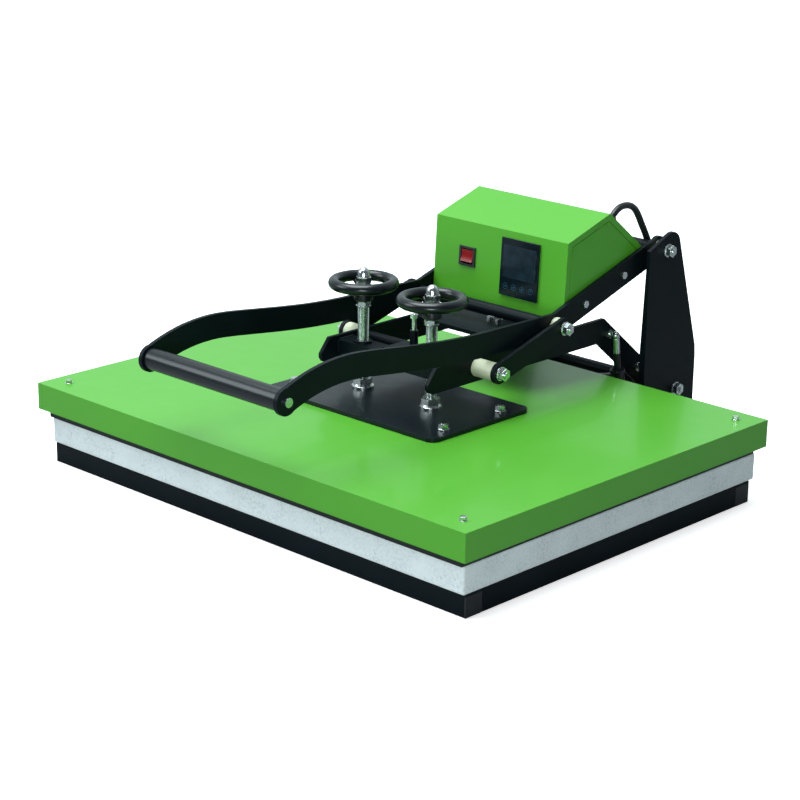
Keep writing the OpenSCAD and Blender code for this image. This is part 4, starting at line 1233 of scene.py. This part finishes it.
def add_controller_face():
    """The controller's black glass with its display, a thin border and four touch marks."""
    face = box_front()
    low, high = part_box("controller_glass")
    w, h = (high.x - low.x) / 2, GLASS_HEIGHT / 2
    bm = bmesh.new()
    block(bm, (-w, -h, -1.5 * MM), (w, h, 0), 0.5 * MM, 3, face)
    make_piece("Controller_Glass", bm, "glass", "lever", ["controller_glass"])
    bm = bmesh.new()
    left, foot = -w + 5 * MM, -h + 27 * MM
    block(bm, (left, foot, -0.2 * MM), (-left, h - 10 * MM, 0.12 * MM), 0.1 * MM, 1, face)
    make_piece("Controller_Display", bm, "screen", "lever")
    bm = bmesh.new()
    for x, bars in KEY_MARKS.items():
        key = face @ Matrix.Translation((x * MM, -h + KEY_RISE, 0))
        ring(bm, key, 4.3 * MM, 3.9 * MM, -0.1 * MM, 0.14 * MM, 0.02 * MM, 32)
        for x0, y0, x1, y1 in bars:
            block(bm, (x0 * MM, y0 * MM, -0.1 * MM), (x1 * MM, y1 * MM, 0.14 * MM), 0, 1, key)
    make_piece("Controller_Touch_Marks", bm, "touch_mark", "lever")


class HEATPRESS_OT_power_switch(Builder, bpy.types.Operator):
    """Makes the rocker switch with its bezel"""

    bl_idname = "heatpress.power_switch"
    bl_label = "Power Switch"

    def build(self):
        refine("switch_bezel", "plastic", 0.5 * MM)
        refine("switch_rocker", "red", 0.7 * MM, 3, 25)


# Gas springs ----------------------------------------------------------------


END_FITTING = 33.9 * MM  # length of the plated end of a gas spring's rod


class HEATPRESS_OT_gas_springs(Builder, bpy.types.Operator):
    """Finishes the two gas springs"""

    bl_idname = "heatpress.gas_springs"
    bl_label = "Gas Springs"

    def build(self):
        for side in ("left", "right"):
            refine(f"gas_tube_{side}", "spring_black", 0.8 * MM, 3)
            bar = refine(f"gas_rod_{side}", "spring_black", 0.3 * MM)
            bar.data.materials.append(finish("zinc"))
            line = Vector(joints[f"spring_stroke_{side}"]["axis"])
            foot = pivot(f"spring_turn_{side}")
            top = max((v.co - foot).dot(line) for v in bar.data.vertices)
            for polygon in bar.data.polygons:
                if (polygon.center - foot).dot(line) > top - END_FITTING:
                    polygon.material_index = 1


# Panel and registration -----------------------------------------------------


OPERATORS = (
    HEATPRESS_OT_stage,
    HEATPRESS_OT_heater_cable,
    HEATPRESS_OT_base,
    HEATPRESS_OT_pad,
    HEATPRESS_OT_uprights,
    HEATPRESS_OT_press_arm,
    HEATPRESS_OT_lever,
    HEATPRESS_OT_links,
    HEATPRESS_OT_platen,
    HEATPRESS_OT_handwheels,
    HEATPRESS_OT_control_box,
    HEATPRESS_OT_power_switch,
    HEATPRESS_OT_gas_springs,
)


class HEATPRESS_PT_panel(bpy.types.Panel):
    """Lists the sizes, the colours and the builders of the heat press"""

    bl_idname = "HEATPRESS_PT_panel"
    bl_label = "Heat Press"
    bl_space_type = "VIEW_3D"
    bl_region_type = "UI"
    bl_category = "Heat Press"

    def draw(self, context):
        layout = self.layout
        for group in (context.scene.heat_press_sizes, context.scene.heat_press_colours):
            column = layout.column()
            for name in group.__annotations__:
                column.prop(group, name)
        for operator in OPERATORS:
            layout.operator(operator.bl_idname)


CLASSES = (HeatPressSizes, HeatPressColours, *OPERATORS, HEATPRESS_PT_panel)


def register():
    for cls in CLASSES:
        bpy.utils.register_class(cls)
    bpy.types.Scene.heat_press_sizes = PointerProperty(type=HeatPressSizes)
    bpy.types.Scene.heat_press_colours = PointerProperty(type=HeatPressColours)


def unregister():
    del bpy.types.Scene.heat_press_colours
    del bpy.types.Scene.heat_press_sizes
    for cls in reversed(CLASSES):
        bpy.utils.unregister_class(cls)


def main():
    """Builds every piece in order."""
    register()
    for operator in OPERATORS:
        family, name = operator.bl_idname.split(".")
        getattr(getattr(bpy.ops, family), name)()
    bpy.context.view_layer.update()


if __name__ == "__main__":
    main()
